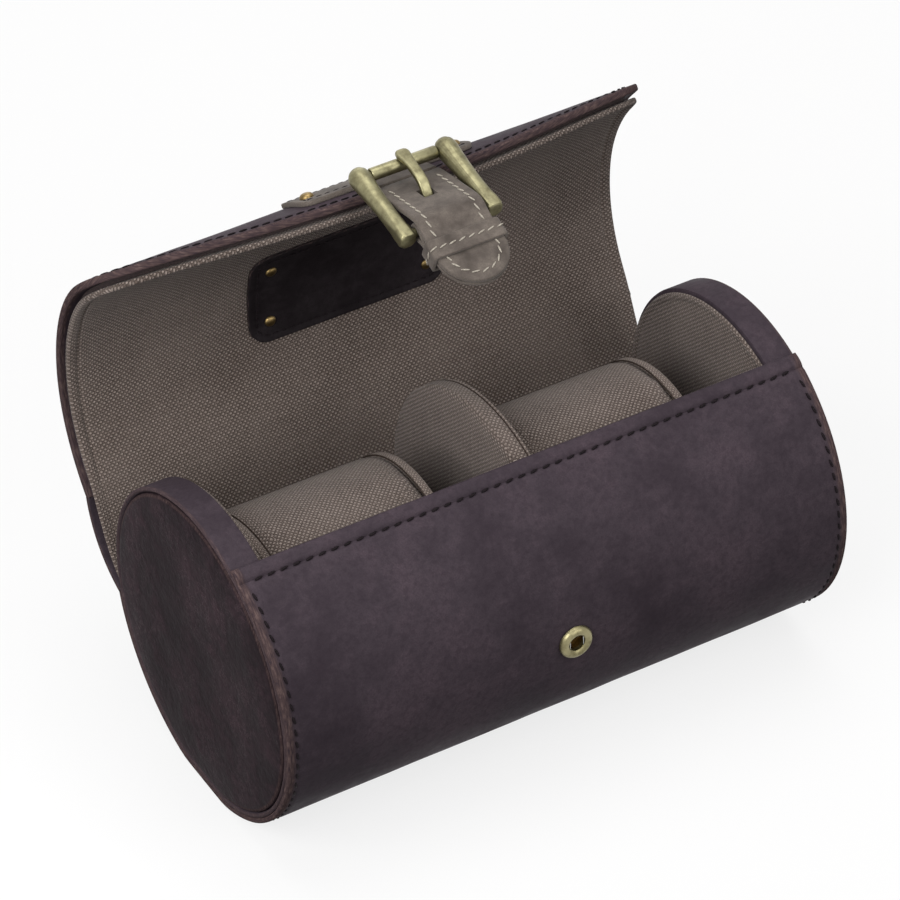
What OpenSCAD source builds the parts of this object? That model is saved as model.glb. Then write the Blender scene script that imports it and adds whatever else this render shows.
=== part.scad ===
// Two-watch travel roll: a leather-wrapped drum with a curved lid on a leather hinge,
// closed by a buckled strap that ends in a press snap. Two watch pillows lie inside.
// X runs along the roll, +Y points to the hinge, +Z up; the origin is under the middle
// of the flat foot. Angles round the roll are measured from the back, up over the top.
// The lid is drawn closed round the roll's axis and then swung open about its hinge.

/* [Roll body] */
// Length of the roll over both end panels
roll_length = 173.5; // [160:0.5:190]
// Outer diameter of the leather wrap
roll_d = 96; // [92:0.5:102]
// Depth of the flat that the roll stands on
foot_depth = 1.2; // [1:0.1:1.6]
// Thickness of the wrap's leather
wrap_t = 1.5; // [1.2:0.1:2]
// Thickness of the canvas-faced board inside the wrap
shell_t = 1.1; // [0.9:0.1:1.5]
// Angle of the front panel's top edge above the front
front_edge = 66; // [60:1:72]
// Angle below the back at which the wrap ends and the hinge begins
back_edge = 15; // [10:1:20]

/* [End caps and divider] */
// Width of the leather band round each end cap
cap_t = 9; // [8:0.5:12]
// Thickness of the leather band
band_t = 1.5; // [1:0.1:2]
// Thickness of the leather disc on each end
panel_t = 1.4; // [1:0.1:2]
// Thickness of the canvas discs that face the bays
canvas_t = 0.9; // [0.6:0.1:1.4]
// Place of the divider's middle along the roll
divider_x = 1.7; // [-4:0.1:6]
// Thickness of the divider over its canvas
divider_t = 6; // [5:0.5:8]

/* [Watch pillows] */
// Diameter of a pillow
pillow_d = 66; // [62:0.5:68]
// Play of the right pillow between its other end and the divider
pillow_play = 2.1; // [1:0.1:6]
// Finger gap between a pillow's right end and the wall beside it
finger_gap = 18; // [14:0.5:19]
// Width of the piped welt round each end of a pillow
welt_w = 2.6; // [2:0.1:4]
// Thickness of the welt
welt_t = 1.4; // [1:0.1:2]
// Half of the angle that the foam cradle under a pillow spans
cradle_half = 58; // [45:1:65]

/* [Lid] */
// Angle between the open lid and the closed lid
lid_swing = 66; // [60:1:70]
// Gap between the wrap and the closed lid's lining
lid_gap = 2; // [1.8:0.1:2.4]
// Thickness of the lid's canvas lining
lining_t = 1.4; // [1:0.1:1.8]
// Thickness of the lid's board
board_t = 1.4; // [1:0.1:1.8]
// Thickness of the lid's leather
lid_leather_t = 2; // [1.6:0.1:2.4]
// Angle of the closed lid's lower edge above the back
lid_start = 24; // [20:1:28]
// Angle of the closed lid's free edge above the front, at its middle
free_edge = 43; // [41:0.5:46]
// How much further the free edge reaches in its middle than at its ends
edge_bow = 18; // [14:0.5:20]
// Radius of the lid's two free corners
corner_r = 18; // [12:1:22]
// How far the lining stays back from the leather's edge
lining_inset = 2.3; // [1.5:0.1:3]
// How far the board stays back from the leather's edge
board_inset = 3.6; // [3:0.1:5]
// Distance of the hinge line behind the roll's axis
hinge_out = 44.9; // [44:0.1:46]
// Height of the hinge line above the roll's axis
hinge_up = 4.9; // [4:0.1:6]
// Thickness of the hinge leather
hinge_t = 1.6; // [1.2:0.1:2]
// Thickness of the canvas behind the hinge leather
hinge_canvas_t = 0.8; // [0.6:0.1:1]
// How far the hinge leather bulges outwards when the lid is open
hinge_bulge = 3.5; // [3:0.1:4.5]

/* [Inner label] */
// Width of the leather label inside the lid
label_w = 62; // [50:1:75]
// Height of the label
label_h = 31; // [26:1:36]
// Thickness of the label
label_t = 1.2; // [0.8:0.1:1.6]
// Radius of the label's corners
label_corner_r = 6; // [3:0.5:8]
// Angle of the label's middle above the back, lid closed
label_angle = 70; // [62:1:76]
// Distance of the label's rivets from its edges
rivet_inset = 6.3; // [5:0.1:8]
// Diameter of a label rivet's dome
label_rivet_d = 3.4; // [2.6:0.1:4]

/* [Strap] */
// Width of the strap
strap_w = 20; // [19:0.1:20.2]
// Thickness of the strap's upper layer
strap_t = 1.5; // [1.3:0.1:1.7]
// Thickness of the billet leather that is folded round the buckle's bar
billet_t = 1.2; // [1:0.1:1.3]
// How far the strap's rounded tip reaches past the middle of the snap
tip_past = 6.7; // [6:0.1:8]
// How far the snapped strap is pressed inwards from the way it lies when open
snap_press = 4; // [3:0.5:6]
// Width of the yoke that is riveted to the lid
yoke_w = 53; // [46:1:60]
// Length of the yoke's plate round the lid, as an angle
yoke_span = 19; // [15:1:24]
// Length of the narrow neck between the yoke and the lid's edge, as an angle
neck_span = 7; // [5:0.5:9]
// Diameter of a yoke rivet's dome
yoke_rivet_d = 4; // [3:0.1:5]
// Width of the keeper strip across the strap
keeper_w = 5.8; // [5:0.1:6]
// Thickness of the keeper
keeper_t = 1.1; // [0.9:0.1:1.3]

/* [Buckle] */
// Distance between the roller's middle and the base bar that the billet holds
buckle_length = 23.3; // [22.8:0.1:23.6]
// Distance between the middles of the two side bars
buckle_w = 25.5; // [25.2:0.1:27]
// Diameter of the round knobs at the roller's ends
knob_d = 4.8; // [4:0.1:5]
// Diameter of a side bar beside its knob
side_bar_d = 3.6; // [3.2:0.1:4]
// Diameter of a side bar at its free end
side_end_d = 4.6; // [4:0.1:4.8]
// Diameter of the roller
roller_d = 3.6; // [3.3:0.1:3.8]
// Diameter of the bar inside the roller
front_bar_d = 2.2; // [1.8:0.1:2.3]
// Diameter of the bar inside the billet
base_bar_d = 2.4; // [2:0.1:2.6]
// Width of the prong
prong_w = 3; // [2.6:0.1:3.2]
// Thickness of the prong
prong_t = 1.7; // [1.4:0.1:2]

/* [Press snap] */
// Angle of the snap above the front
snap_angle = 2; // [1.6:0.1:2.6]
// Diameter of the socket's ring
socket_d = 10; // [9:0.2:11]
// Height of the socket's ring above the leather
socket_h = 1.9; // [1.7:0.1:2]
// Diameter of the socket's mouth
mouth_d = 4.8; // [4.6:0.1:5.2]
// Diameter of the stud
stud_d = 3.2; // [2.8:0.1:3.4]

/* [Clearances] */
// Gap between glued or sewn layers
layer_gap = 0.05; // [0.02:0.01:0.08]
// Radial play of a bar in its bore
running_gap = 0.05; // [0.03:0.01:0.08]
// Gap between a pillow and the cradle it lies in
seat_gap = 0.3; // [0.2:0.05:0.5]

/* [Hidden] */

$fn = 96;
leather = "#3f353a";
nubuck = "#7b7268";
canvas = "#6b6258";
brass = "#b5a878";
board = "#a08c6c";

// Radii of the layers, from the wrap inwards
wrap_r = roll_d / 2;
band_r = wrap_r - wrap_t - layer_gap;
core_r = band_r - band_t - layer_gap;
shell_in_r = band_r - shell_t;
bay_r = shell_in_r - layer_gap;
axis_z = wrap_r - foot_depth;
half_l = roll_length / 2;
bay_end = half_l - cap_t - canvas_t;
wrap_start = 180 - front_edge;
wrap_end = 360 - back_edge;

// Radii of the lid's layers, from the lining outwards
lining_r = wrap_r + lid_gap;
board_r = lining_r + lining_t + layer_gap;
lid_leather_r = board_r + board_t + layer_gap;
lid_r = lid_leather_r + lid_leather_t;
edge_angle = 180 - free_edge;
lid_reach = 18;
aim = edge_angle - lid_reach;

// The strap, given closed and snapped, in the plane across the roll. It leaves the lid at
// the flex line, runs under the roller, over the base bar and down in front of the socket.
flange_t = 0.5;
flange_gap = 0.35;
flange_d = socket_d - 2;
stud_reach_in = 1.2;
yoke_r = lid_r + layer_gap;
flex_a = edge_angle + asin(strap_t / yoke_r);
flex = on_circle(yoke_r + strap_t / 2, flex_a);
roller_up = 5.1;
roller_lead = 0.4;
roller = on_circle(yoke_r + strap_t / 2 + roller_up, flex_a + roller_lead);
tail_a = 268 - (snap_angle - 2);
tail_n = [sin(tail_a), -cos(tail_a)];
tail_t = [cos(tail_a), sin(tail_a)];
tail_r = wrap_r + layer_gap + socket_h + flange_gap + flange_t + layer_gap;
drop = acos((tail_r - cross2(roller, tail_t)) / buckle_length);
buckle_a = tail_a + drop - 90;
base = roller + buckle_length * [cos(buckle_a), sin(buckle_a)];
stud_away = -(base * tail_t);
bend = tail_a - buckle_a;

neck_stop = asin((strap_t / 2 + 0.4) / (yoke_r + strap_t / 2));
billet_in_r = base_bar_d / 2 + 2 * running_gap;
billet_out_r = billet_in_r + billet_t;
lap_z = billet_t + layer_gap + strap_t / 2;
over_bar_z = billet_out_r + layer_gap + strap_t / 2;
tip_r = strap_w / 2;
tip_reach = stud_away + tip_past;
keeper_end = stud_away - 3.5;
keeper_start = keeper_end - keeper_w;
keeper_tab = strap_w * 0.17;
billet_leg = stud_away - socket_d / 2 - 0.4;
yoke_corner = yoke_w / 13;
pin_tail = 0.2;
tail_d = 2.4;
back_wall = 0.4;
back_plate_t = 0.5;
back_plate_d = socket_d - 1;
back_plate_r = sqrt(pow(wrap_r - wrap_t, 2) - pow(back_plate_d / 2, 2)) - layer_gap - back_plate_t;
ring_round = 2.6;
spring_d = 0.3;
spring_l = 3.2;
spring_z = 1;
spring_out = stud_d / 2 + 0.3 + spring_d / 2;
side_x = buckle_w / 2;
prong_slot = prong_w + 1;
slot_length = 2.8 * prong_t;
left_wall = divider_x - divider_t / 2;
right_wall = divider_x + divider_t / 2;
wall_gap = 0.1;
pillow_length = bay_end - right_wall - finger_gap - pillow_play;
left_pillow_end = left_wall - finger_gap;
right_pillow_end = bay_end - finger_gap;

// The hinge leather, drawn open
hinge_low = on_circle(wrap_r - wrap_t, -back_edge);
hinge_high = swung(lid_r - hinge_t, lid_start);
hinge_tuck = hinge_t * 0.3;
hinge_turn = 0.08;

function on_circle(r, a) = [r * cos(a), r * sin(a)];

// Distance of a point from the line through the axis along t
function cross2(p, t) = p[0] * t[1] - p[1] * t[0];

// A point of the lid, given closed, after the lid is opened; both relative to the axis
function swung(r, a) =
  let (y = r * cos(a) - hinge_out, z = r * sin(a) - hinge_up)
  [hinge_out + y * cos(lid_swing) + z * sin(lid_swing),
    hinge_up - y * sin(lid_swing) + z * cos(lid_swing)];

// A closed-lid point in the buckle's frame, and a point of the tail's frame in the same
function in_buckle(p) = let (d = p - roller, c = -cos(buckle_a), s = -sin(buckle_a))
  [d[0] * c + d[1] * s, d[1] * c - d[0] * s];
function from_tail(p) =
  [p[0] * cos(bend) - p[1] * sin(bend) - buckle_length, p[0] * sin(bend) + p[1] * cos(bend)];

// Middle line of the tongue: under the roller, through the prong and over the bar
root = in_buckle(flex);
slot = [-0.54 * buckle_length, -strap_t / 8];
tongue_line = [root, root + strap_t * [-1.7, 1], slot,
  [base_bar_d - buckle_length, over_bar_z - 0.2], [-buckle_length, over_bar_z + 0.15],
  from_tail([-base_bar_d / 2, over_bar_z - 0.2]), from_tail([-2 * base_bar_d, lap_z]),
  from_tail([-tip_reach, lap_z])];

// Side view of the prong's middle line, from its tip over the roller down to the bar
prong_z = roller_d / 2 + 0.3 + prong_t / 2;
prong_line = [[0.64 * roller_d, prong_z - 0.3 * prong_t], [0.1 * roller_d, prong_z],
  slot + [1.9 * prong_t, prong_z - slot[1]], slot, slot - prong_t * [1.5, 1.6],
  [0.75 * base_bar_d - buckle_length, -base_bar_d / 4]];

function arc_points(cx, cy, r, a0, a1, n) =
  [for (i = [0:n]) let (a = a0 + (a1 - a0) * i / n) [cx + r * cos(a), cy + r * sin(a)]];

function wedge(a0, a1, r) = concat([[0, 0]], arc_points(0, 0, r, a0, a1, ceil((a1 - a0) / 15)));

// Outline of the lid's free end: a bowed edge between two rounded corners
function lid_outline(half, top, corner) =
  let (bow_r = (half * half + edge_bow * edge_bow) / (2 * edge_bow),
    mid_y = top - bow_r,
    cx = half - corner,
    cy = mid_y + sqrt(pow(bow_r - corner, 2) - cx * cx),
    turn = atan2(cy - mid_y, cx),
    low = -3 * corner_r)
  concat([[half, low]], arc_points(cx, cy, corner, 0, turn, 12),
    arc_points(0, mid_y, bow_r, turn, 180 - turn, 48),
    arc_points(-cx, cy, corner, 180 - turn, 180, 12), [[-half, low]]);

// A band of even thickness along a bent line, mitred where the line turns
function way(line, i) = let (j = max(0, min(len(line) - 2, i)), d = line[j + 1] - line[j]) d / norm(d);
function side_step(line, i) = let (u = way(line, i - 1), v = way(line, i), m = u + v)
  [-m[1], m[0]] / (1 + u * v);
function ribbon(line, t) = concat(
  [for (i = [0:len(line) - 1]) line[i] + t / 2 * side_step(line, i)],
  [for (i = [len(line) - 1:-1:0]) line[i] - t / 2 * side_step(line, i)]);

module foot_circle(r) {
  intersection() {
    circle(r = r);
    translate([-r, foot_depth - r]) square([2 * r, 2 * r]);
  }
}

module along_roll(x0, x1) {
  translate([x0, 0, axis_z]) rotate([90, 0, 90]) linear_extrude(x1 - x0) children();
}

module around(x, a, r) {
  translate([x, 0, axis_z]) rotate([a, 0, 0]) translate([0, r, 0]) rotate([-90, 0, 0]) children();
}

module layer(r_in, r_out, a0, a1, half) {
  along_roll(-half, half) intersection() {
    difference() {
      circle(r = r_out);
      circle(r = r_in);
    }
    polygon(wedge(a0, a1, 2 * r_out));
  }
}

module body_layer(r_in, r_out, half, inset) {
  along_roll(-half, half) intersection() {
    difference() {
      foot_circle(r_out);
      foot_circle(r_in);
    }
    polygon(wedge(wrap_start + inset, wrap_end - inset, 2 * r_out));
  }
}

module open_lid() {
  translate([0, hinge_out, axis_z + hinge_up]) rotate([-lid_swing, 0, 0])
    translate([0, -hinge_out, -axis_z - hinge_up]) children();
}

module lid_layer(r_in, r_out, inset) {
  top = lid_r * sin(lid_reach) - inset;
  half = half_l - inset;
  open_lid() difference() {
    layer(r_in, r_out, lid_start, edge_angle + 5, half);
    around(0, aim, r_in / 2) linear_extrude(r_out) mirror([0, 1]) difference() {
      translate([-roll_length, -2 * corner_r]) square([2 * roll_length, 4 * corner_r]);
      polygon(lid_outline(half, top, corner_r - inset / 2));
    }
  }
}

// The strap's pieces are drawn closed and snapped in the plane of Y and Z round the axis
module open_strap() {
  open_lid() translate([0, flex[0], axis_z + flex[1]]) rotate([-snap_press, 0, 0])
    translate([0, -flex[0], -axis_z - flex[1]]) children();
}

// Frame with -y along the buckle from the roller to the base bar and +z outwards
module buckle_place() {
  open_strap() translate([0, roller[0], axis_z + roller[1]]) rotate([buckle_a - 180, 0, 0]) children();
}

// Frame with -y along the strap's tail from the base bar to the tip and +z outwards
module tail_place() {
  open_strap() translate([0, base[0], axis_z + base[1]]) rotate([tail_a - 180, 0, 0]) children();
}

module across(x0, x1) {
  translate([x0, 0, 0]) rotate([90, 0, 90]) linear_extrude(x1 - x0) children();
}

module dome(d, h) {
  r = (d * d / 4 + h * h) / (2 * h);
  intersection() {
    translate([0, 0, h - r]) sphere(r = r);
    cylinder(d = d + 1, h = h + 1);
  }
}

// ---- Drum
module snap_hole(d) {
  around(0, 180 - snap_angle, shell_in_r - 1) cylinder(d = d, h = wrap_t + shell_t + 3);
}

module wrap() {
  color(leather) difference() {
    body_layer(wrap_r - wrap_t, wrap_r, half_l, 0);
    snap_hole(mouth_d + 2 * back_wall + 2 * layer_gap);
  }
}

module shell_lining() {
  color(canvas) difference() {
    body_layer(shell_in_r, band_r, half_l - cap_t - layer_gap, 0.5);
    around(0, 180 - snap_angle, back_plate_r - layer_gap)
      cylinder(d = back_plate_d + 2 * layer_gap, h = shell_t + 1);
  }
}

module end_core(side) {
  x1 = half_l - panel_t - layer_gap;
  x0 = half_l - cap_t;
  color(board) mirror([side < 0 ? 1 : 0, 0, 0]) along_roll(x0, x1) foot_circle(core_r);
}

module end_panel(side) {
  color(leather) mirror([side < 0 ? 1 : 0, 0, 0])
    along_roll(half_l - panel_t, half_l) foot_circle(core_r);
}

module end_band(side) {
  color(leather) mirror([side < 0 ? 1 : 0, 0, 0])
    along_roll(half_l - cap_t, half_l) difference() {
      foot_circle(band_r);
      foot_circle(band_r - band_t);
    }
}

module end_canvas(side) {
  color(canvas) mirror([side < 0 ? 1 : 0, 0, 0])
    along_roll(bay_end, half_l - cap_t - layer_gap) foot_circle(bay_r);
}

// ---- Divider between the bays
module divider_slab(x0, x1, r) {
  along_roll(divider_x + x0, divider_x + x1) foot_circle(r);
}

module divider_core() {
  color(board) divider_slab(canvas_t - divider_t / 2 + layer_gap,
    divider_t / 2 - canvas_t - 2 * layer_gap, bay_r - canvas_t - layer_gap);
}

module divider_cover() {
  color(canvas) difference() {
    divider_slab(-divider_t / 2, divider_t / 2 - canvas_t - layer_gap, bay_r);
    divider_slab(canvas_t - divider_t / 2, divider_t / 2, bay_r - canvas_t);
  }
}

module divider_panel() {
  color(canvas) divider_slab(divider_t / 2 - canvas_t, divider_t / 2, bay_r);
}

// ---- Bays
module cradle(x0, x1) {
  color(canvas) along_roll(x0, x1) intersection() {
    difference() {
      foot_circle(bay_r);
      circle(d = pillow_d + 2 * seat_gap);
    }
    polygon(wedge(270 - cradle_half, 270 + cradle_half, roll_d));
  }
}

module cradle_left() {
  cradle(wall_gap - bay_end, left_wall - wall_gap);
}

module cradle_right() {
  cradle(right_wall + wall_gap, bay_end - wall_gap);
}

module pillow(x1) {
  mid_w = pillow_length - 2 * (welt_w + layer_gap);
  color(canvas) union() {
    along_roll(x1 - pillow_length, x1) circle(d = pillow_d - 2 * (welt_t + layer_gap));
    along_roll(x1 - (pillow_length + mid_w) / 2, x1 - (pillow_length - mid_w) / 2) circle(d = pillow_d);
  }
}

module pillow_welts(x1) {
  color("#8b8171") for (x = [x1 - pillow_length, x1 - welt_w])
    along_roll(x, x + welt_w) difference() {
      circle(d = pillow_d);
      circle(d = pillow_d - 2 * welt_t);
    }
}

// ---- Snap socket on the front
module snap_socket() {
  color(brass) around(0, 180 - snap_angle, wrap_r + layer_gap) rotate_extrude() difference() {
    intersection() {
      translate([mouth_d / 2, 0]) square([(socket_d - mouth_d) / 2, socket_h]);
      translate([(socket_d + mouth_d) / 4, socket_h - ring_round]) circle(r = ring_round);
    }
    translate([mouth_d / 2 - 1, spring_z - spring_d]) square([1 + 2 * spring_d, 2 * spring_d]);
  }
}

module snap_spring() {
  color("silver") around(0, 180 - snap_angle, wrap_r + layer_gap + spring_z)
    for (side = [-1, 1]) translate([side * spring_out, -spring_l / 2, 0])
      rotate([-90, 0, 0]) cylinder(d = spring_d, h = spring_l, $fn = 24);
}

module snap_back() {
  color(brass) around(0, 180 - snap_angle, back_plate_r) difference() {
    union() {
      cylinder(d = back_plate_d, h = back_plate_t);
      cylinder(d = mouth_d + 2 * back_wall, h = wrap_r - back_plate_r);
    }
    translate([0, 0, back_plate_t]) cylinder(d = mouth_d, h = wrap_t + 2);
  }
}

// ---- Hinge
module hinge_sheet(t, back) {
  span = hinge_high - hinge_low;
  chord = norm(span) + 2 * hinge_tuck;
  lean = atan2(span[1], span[0]);
  r = (chord * chord / 4 + hinge_bulge * hinge_bulge) / (2 * hinge_bulge);
  half_turn = asin(chord / 2 / r);
  mid = (hinge_high + hinge_low) / 2;
  difference() {
    along_roll(-half_l, half_l) translate(mid) rotate(lean - 90) translate([hinge_bulge - r, 0])
      intersection() {
        difference() {
          circle(r = r + t - back);
          circle(r = r - back);
        }
        polygon(wedge(-half_turn, half_turn, 3 * r));
      }
    along_roll(-roll_length, roll_length) polygon(wedge(180, wrap_end + hinge_turn, roll_d));
    open_lid() along_roll(-roll_length, roll_length)
      polygon(wedge(lid_start - hinge_turn, 180, roll_d));
  }
}

module hinge_leather() {
  color(leather) hinge_sheet(hinge_t, 0);
}

module hinge_canvas() {
  width = roll_length - 2 * lining_inset;
  color(canvas) difference() {
    intersection() {
      hinge_sheet(hinge_canvas_t, hinge_canvas_t + layer_gap);
      translate([-width / 2, 0, 0]) cube([width, roll_d, 2 * roll_d]);
    }
    along_roll(-half_l, half_l) circle(r = band_r + 2 * layer_gap);
  }
}

// ---- Lid
module lid_leather() {
  color(leather) lid_layer(lid_leather_r, lid_r, 0);
}

module lid_board() {
  color(board) lid_layer(board_r, board_r + board_t, board_inset);
}

module lid_lining() {
  color(canvas) lid_layer(lining_r, lining_r + lining_t, lining_inset);
}

module rounded_plate(w, h, r, t) {
  linear_extrude(t) union() {
    square([w - 2 * r, h], center = true);
    square([w, h - 2 * r], center = true);
    for (x = [-1, 1], y = [-1, 1]) translate([x * (w / 2 - r), y * (h / 2 - r)]) circle(r = r);
  }
}

module label_patch() {
  r = lining_r - layer_gap;
  color("#1c191b") open_lid() intersection() {
    layer(r - label_t, r, label_angle - 30, label_angle + 30, label_w);
    around(0, label_angle, r / 2) rounded_plate(label_w, label_h, label_corner_r, r);
  }
}

module label_rivets() {
  along = label_h / 2 - rivet_inset;
  r = lining_r - label_t - 3 * layer_gap;
  color(brass) open_lid() for (x = [-1, 1], side = [-1, 1])
    around(x * (label_w / 2 - rivet_inset), label_angle + side * asin(along / r), r)
      rotate([180, 0, 0]) dome(label_rivet_d, label_rivet_d / 4);
}

// ---- Strap
module strap_yoke() {
  mid = edge_angle - neck_span - yoke_span / 2;
  plate_h = 2 * lid_r * sin(yoke_span / 2);
  color(nubuck) open_lid() union() {
    intersection() {
      layer(yoke_r, yoke_r + strap_t, mid - yoke_span, mid + yoke_span, yoke_w);
      around(0, mid, yoke_r / 2) rounded_plate(yoke_w, plate_h, yoke_corner, yoke_r);
    }
    layer(yoke_r, yoke_r + strap_t, mid, flex_a - neck_stop, strap_w / 2);
  }
}

module yoke_rivets() {
  a = edge_angle - neck_span - yoke_span / 3;
  r = yoke_r + strap_t + layer_gap;
  color(brass) open_lid() for (x = [-1, 1])
    around(x * (yoke_w / 2 - yoke_rivet_d), a, r) dome(yoke_rivet_d, yoke_rivet_d * 0.35);
}

module strap_outline() {
  union() {
    translate([-strap_w / 2, tip_r - tip_reach]) square([strap_w, tip_reach + 2 * buckle_length]);
    translate([0, tip_r - tip_reach]) circle(r = tip_r);
  }
}

module strap_tongue() {
  color(nubuck) difference() {
    intersection() {
      buckle_place() union() {
        across(-strap_w / 2, strap_w / 2) polygon(ribbon(tongue_line, strap_t));
        translate([-strap_w / 2, root[0], root[1]]) rotate([0, 90, 0])
          cylinder(d = strap_t - layer_gap, h = strap_w);
      }
      tail_place() translate([0, 0, -20]) linear_extrude(40) strap_outline();
    }
    buckle_place() translate([0, slot[0], slot[1]]) rotate([-20, 0, 0])
      translate([-prong_slot / 2, -slot_length / 2, -3]) cube([prong_slot, slot_length, 6]);
  }
}

module strap_billet() {
  color(nubuck) tail_place() difference() {
    intersection() {
      across(-strap_w / 2, strap_w / 2) difference() {
        union() {
          circle(r = billet_out_r);
          translate([-tip_reach, 0]) square([tip_reach, billet_t]);
          translate([-billet_leg, -billet_t]) square([billet_leg, billet_t]);
        }
        circle(r = billet_in_r);
      }
      translate([0, 0, -20]) linear_extrude(40) strap_outline();
    }
    translate([-prong_slot / 2, -3.2, -5]) cube([prong_slot, 8, 10]);
    translate([0, -stud_away, -5]) cylinder(d = tail_d + 2 * layer_gap, h = 10, $fn = 48);
  }
}

module keeper() {
  top = lap_z + strap_t / 2 + layer_gap;
  under = -billet_t - layer_gap;
  inner = strap_w + 2 * layer_gap;
  color(nubuck) tail_place() translate([0, -keeper_end, 0]) difference() {
    translate([-inner / 2 - keeper_t, 0, under - keeper_t])
      cube([inner + 2 * keeper_t, keeper_w, top - under + 2 * keeper_t]);
    translate([-inner / 2, -1, under]) cube([inner, keeper_w + 2, top - under]);
    translate([-inner / 2 + keeper_tab, -1, under - 2 * keeper_t])
      cube([inner - 2 * keeper_tab, keeper_w + 2, 3 * keeper_t]);
  }
}

module snap_stud() {
  under = layer_gap + flange_t;
  color(brass) tail_place() translate([0, -stud_away, 0]) {
    translate([0, 0, -under]) cylinder(d = flange_d, h = flange_t);
    translate([0, 0, -under - flange_gap - stud_reach_in])
      cylinder(d = stud_d, h = flange_gap + stud_reach_in + flange_t / 2);
    translate([0, 0, -under]) cylinder(d = tail_d, h = under + billet_t - pin_tail);
  }
}

// ---- Buckle
module side_bar() {
  cap = side_end_d / 2;
  end_round = 0.8;
  rotate([90, 0, 0]) union() {
    sphere(d = knob_d);
    rotate_extrude() polygon([[0, 0], [side_bar_d / 2, 0], [side_bar_d / 2, 4],
      [cap, buckle_length - cap], [cap, buckle_length + cap - end_round],
      [cap - end_round, buckle_length + cap], [0, buckle_length + cap]]);
  }
}

module buckle_frame() {
  color(brass) buckle_place() union() {
    for (x = [-1, 1]) translate([x * side_x, 0, 0]) side_bar();
    translate([-side_x, 0, 0]) rotate([0, 90, 0]) cylinder(d = front_bar_d, h = buckle_w);
    translate([-side_x, -buckle_length, 0]) rotate([0, 90, 0])
      cylinder(d = base_bar_d, h = buckle_w);
  }
}

module buckle_roller() {
  length = buckle_w - knob_d - 0.8;
  color(brass) buckle_place() rotate([0, 90, 0]) difference() {
    cylinder(d = roller_d, h = length, center = true);
    cylinder(d = front_bar_d + 2 * running_gap, h = length + 2, center = true);
  }
}

module buckle_prong() {
  loop_r = base_bar_d / 2 + running_gap + 0.9;
  color(brass) buckle_place() difference() {
    union() {
      across(-prong_w / 2, prong_w / 2) polygon(ribbon(prong_line, prong_t));
      translate([-prong_w / 2, -buckle_length, 0]) rotate([0, 90, 0])
        cylinder(r = loop_r, h = prong_w);
    }
    translate([-prong_w, -buckle_length, 0]) rotate([0, 90, 0])
      cylinder(d = base_bar_d + 2 * running_gap, h = 2 * prong_w);
  }
}

wrap();
shell_lining();
end_core(-1);  // end_core_left
end_core(1);  // end_core_right
end_panel(-1);  // end_panel_left
end_panel(1);  // end_panel_right
end_band(-1);  // end_band_left
end_band(1);  // end_band_right
end_canvas(-1);  // end_canvas_left
end_canvas(1);  // end_canvas_right
divider_core();
divider_cover();
divider_panel();
cradle_left();
cradle_right();
snap_socket();
snap_spring();
snap_back();
pillow(left_pillow_end);  // pillow_left
pillow_welts(left_pillow_end);  // pillow_welts_left
pillow(right_pillow_end);  // pillow_right
pillow_welts(right_pillow_end);  // pillow_welts_right
hinge_leather();
hinge_canvas();
lid_leather();
lid_board();
lid_lining();
label_patch();
label_rivets();
strap_yoke();
yoke_rivets();
strap_tongue();
strap_billet();
keeper();
snap_stud();
buckle_frame();
buckle_roller();
buckle_prong();
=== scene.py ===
import bmesh
import bpy
import random
from bisect import bisect_right
from functools import partial
from math import acos, asin, atan2, copysign, cos, degrees, exp, hypot, pi, radians, sin, sqrt, tau
from mathutils import Matrix, Vector, noise


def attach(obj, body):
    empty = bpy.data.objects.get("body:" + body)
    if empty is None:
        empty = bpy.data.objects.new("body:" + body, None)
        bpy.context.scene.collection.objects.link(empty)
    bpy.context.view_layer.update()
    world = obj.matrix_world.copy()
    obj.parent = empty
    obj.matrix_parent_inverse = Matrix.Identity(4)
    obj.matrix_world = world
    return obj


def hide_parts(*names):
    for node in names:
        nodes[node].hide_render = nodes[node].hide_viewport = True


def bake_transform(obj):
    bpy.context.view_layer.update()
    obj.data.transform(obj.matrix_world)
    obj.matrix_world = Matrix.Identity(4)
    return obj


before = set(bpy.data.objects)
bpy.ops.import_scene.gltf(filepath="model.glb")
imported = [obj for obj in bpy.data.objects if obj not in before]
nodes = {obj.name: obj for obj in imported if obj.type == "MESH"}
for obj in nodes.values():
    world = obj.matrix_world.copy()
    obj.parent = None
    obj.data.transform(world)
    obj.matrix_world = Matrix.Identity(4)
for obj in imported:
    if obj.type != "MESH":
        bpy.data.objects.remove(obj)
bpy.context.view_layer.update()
random.seed(7)
print("frame loaded", flush=True)

# Sizes in mm, as in the part's source
axisZ = 46.8
wrapR, wrapT = 48.0, 1.5
bandR, coreR, bayR = 46.45, 44.9, 45.3
halfL, capT, canvasT = 86.75, 9.0, 0.9
footDepth = 1.2
bayEnd = halfL - capT - canvasT
dividerX, dividerT = 1.7, 6.0
leftWall, rightWall = dividerX - dividerT / 2, dividerX + dividerT / 2
pillowR, pillowL, weltW, weltT = 33.0, 52.05, 2.6, 1.4
leftPillow, rightPillow = leftWall - 18, bayEnd - 18
pivot = (44.9, 4.9)
liningR, liningT, lidR, lidT = 50.0, 1.4, 54.9, 2.0
edgeA, aimA, lidStart, lidEnd = 137.0, 119.0, 24.0, 160.0
edgeBow, cornerR = 18.0, 18.0
strapW, strapT, billetT = 20.0, 1.5, 1.2
buckleL, buckleW = 23.3, 25.5
rollerD, frontBarD, baseBarD = 3.6, 2.2, 2.4
prongW, prongT = 3.0, 1.7
play = 0.05
yokeR = lidR + play


def polar(r, a):
    return (r * cos(radians(a)), r * sin(radians(a)))


def turned(p, c, a):
    ca, sa = cos(radians(a)), sin(radians(a))
    y, z = p[0] - c[0], p[1] - c[1]
    return (c[0] + y * ca - z * sa, c[1] + y * sa + z * ca)


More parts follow.
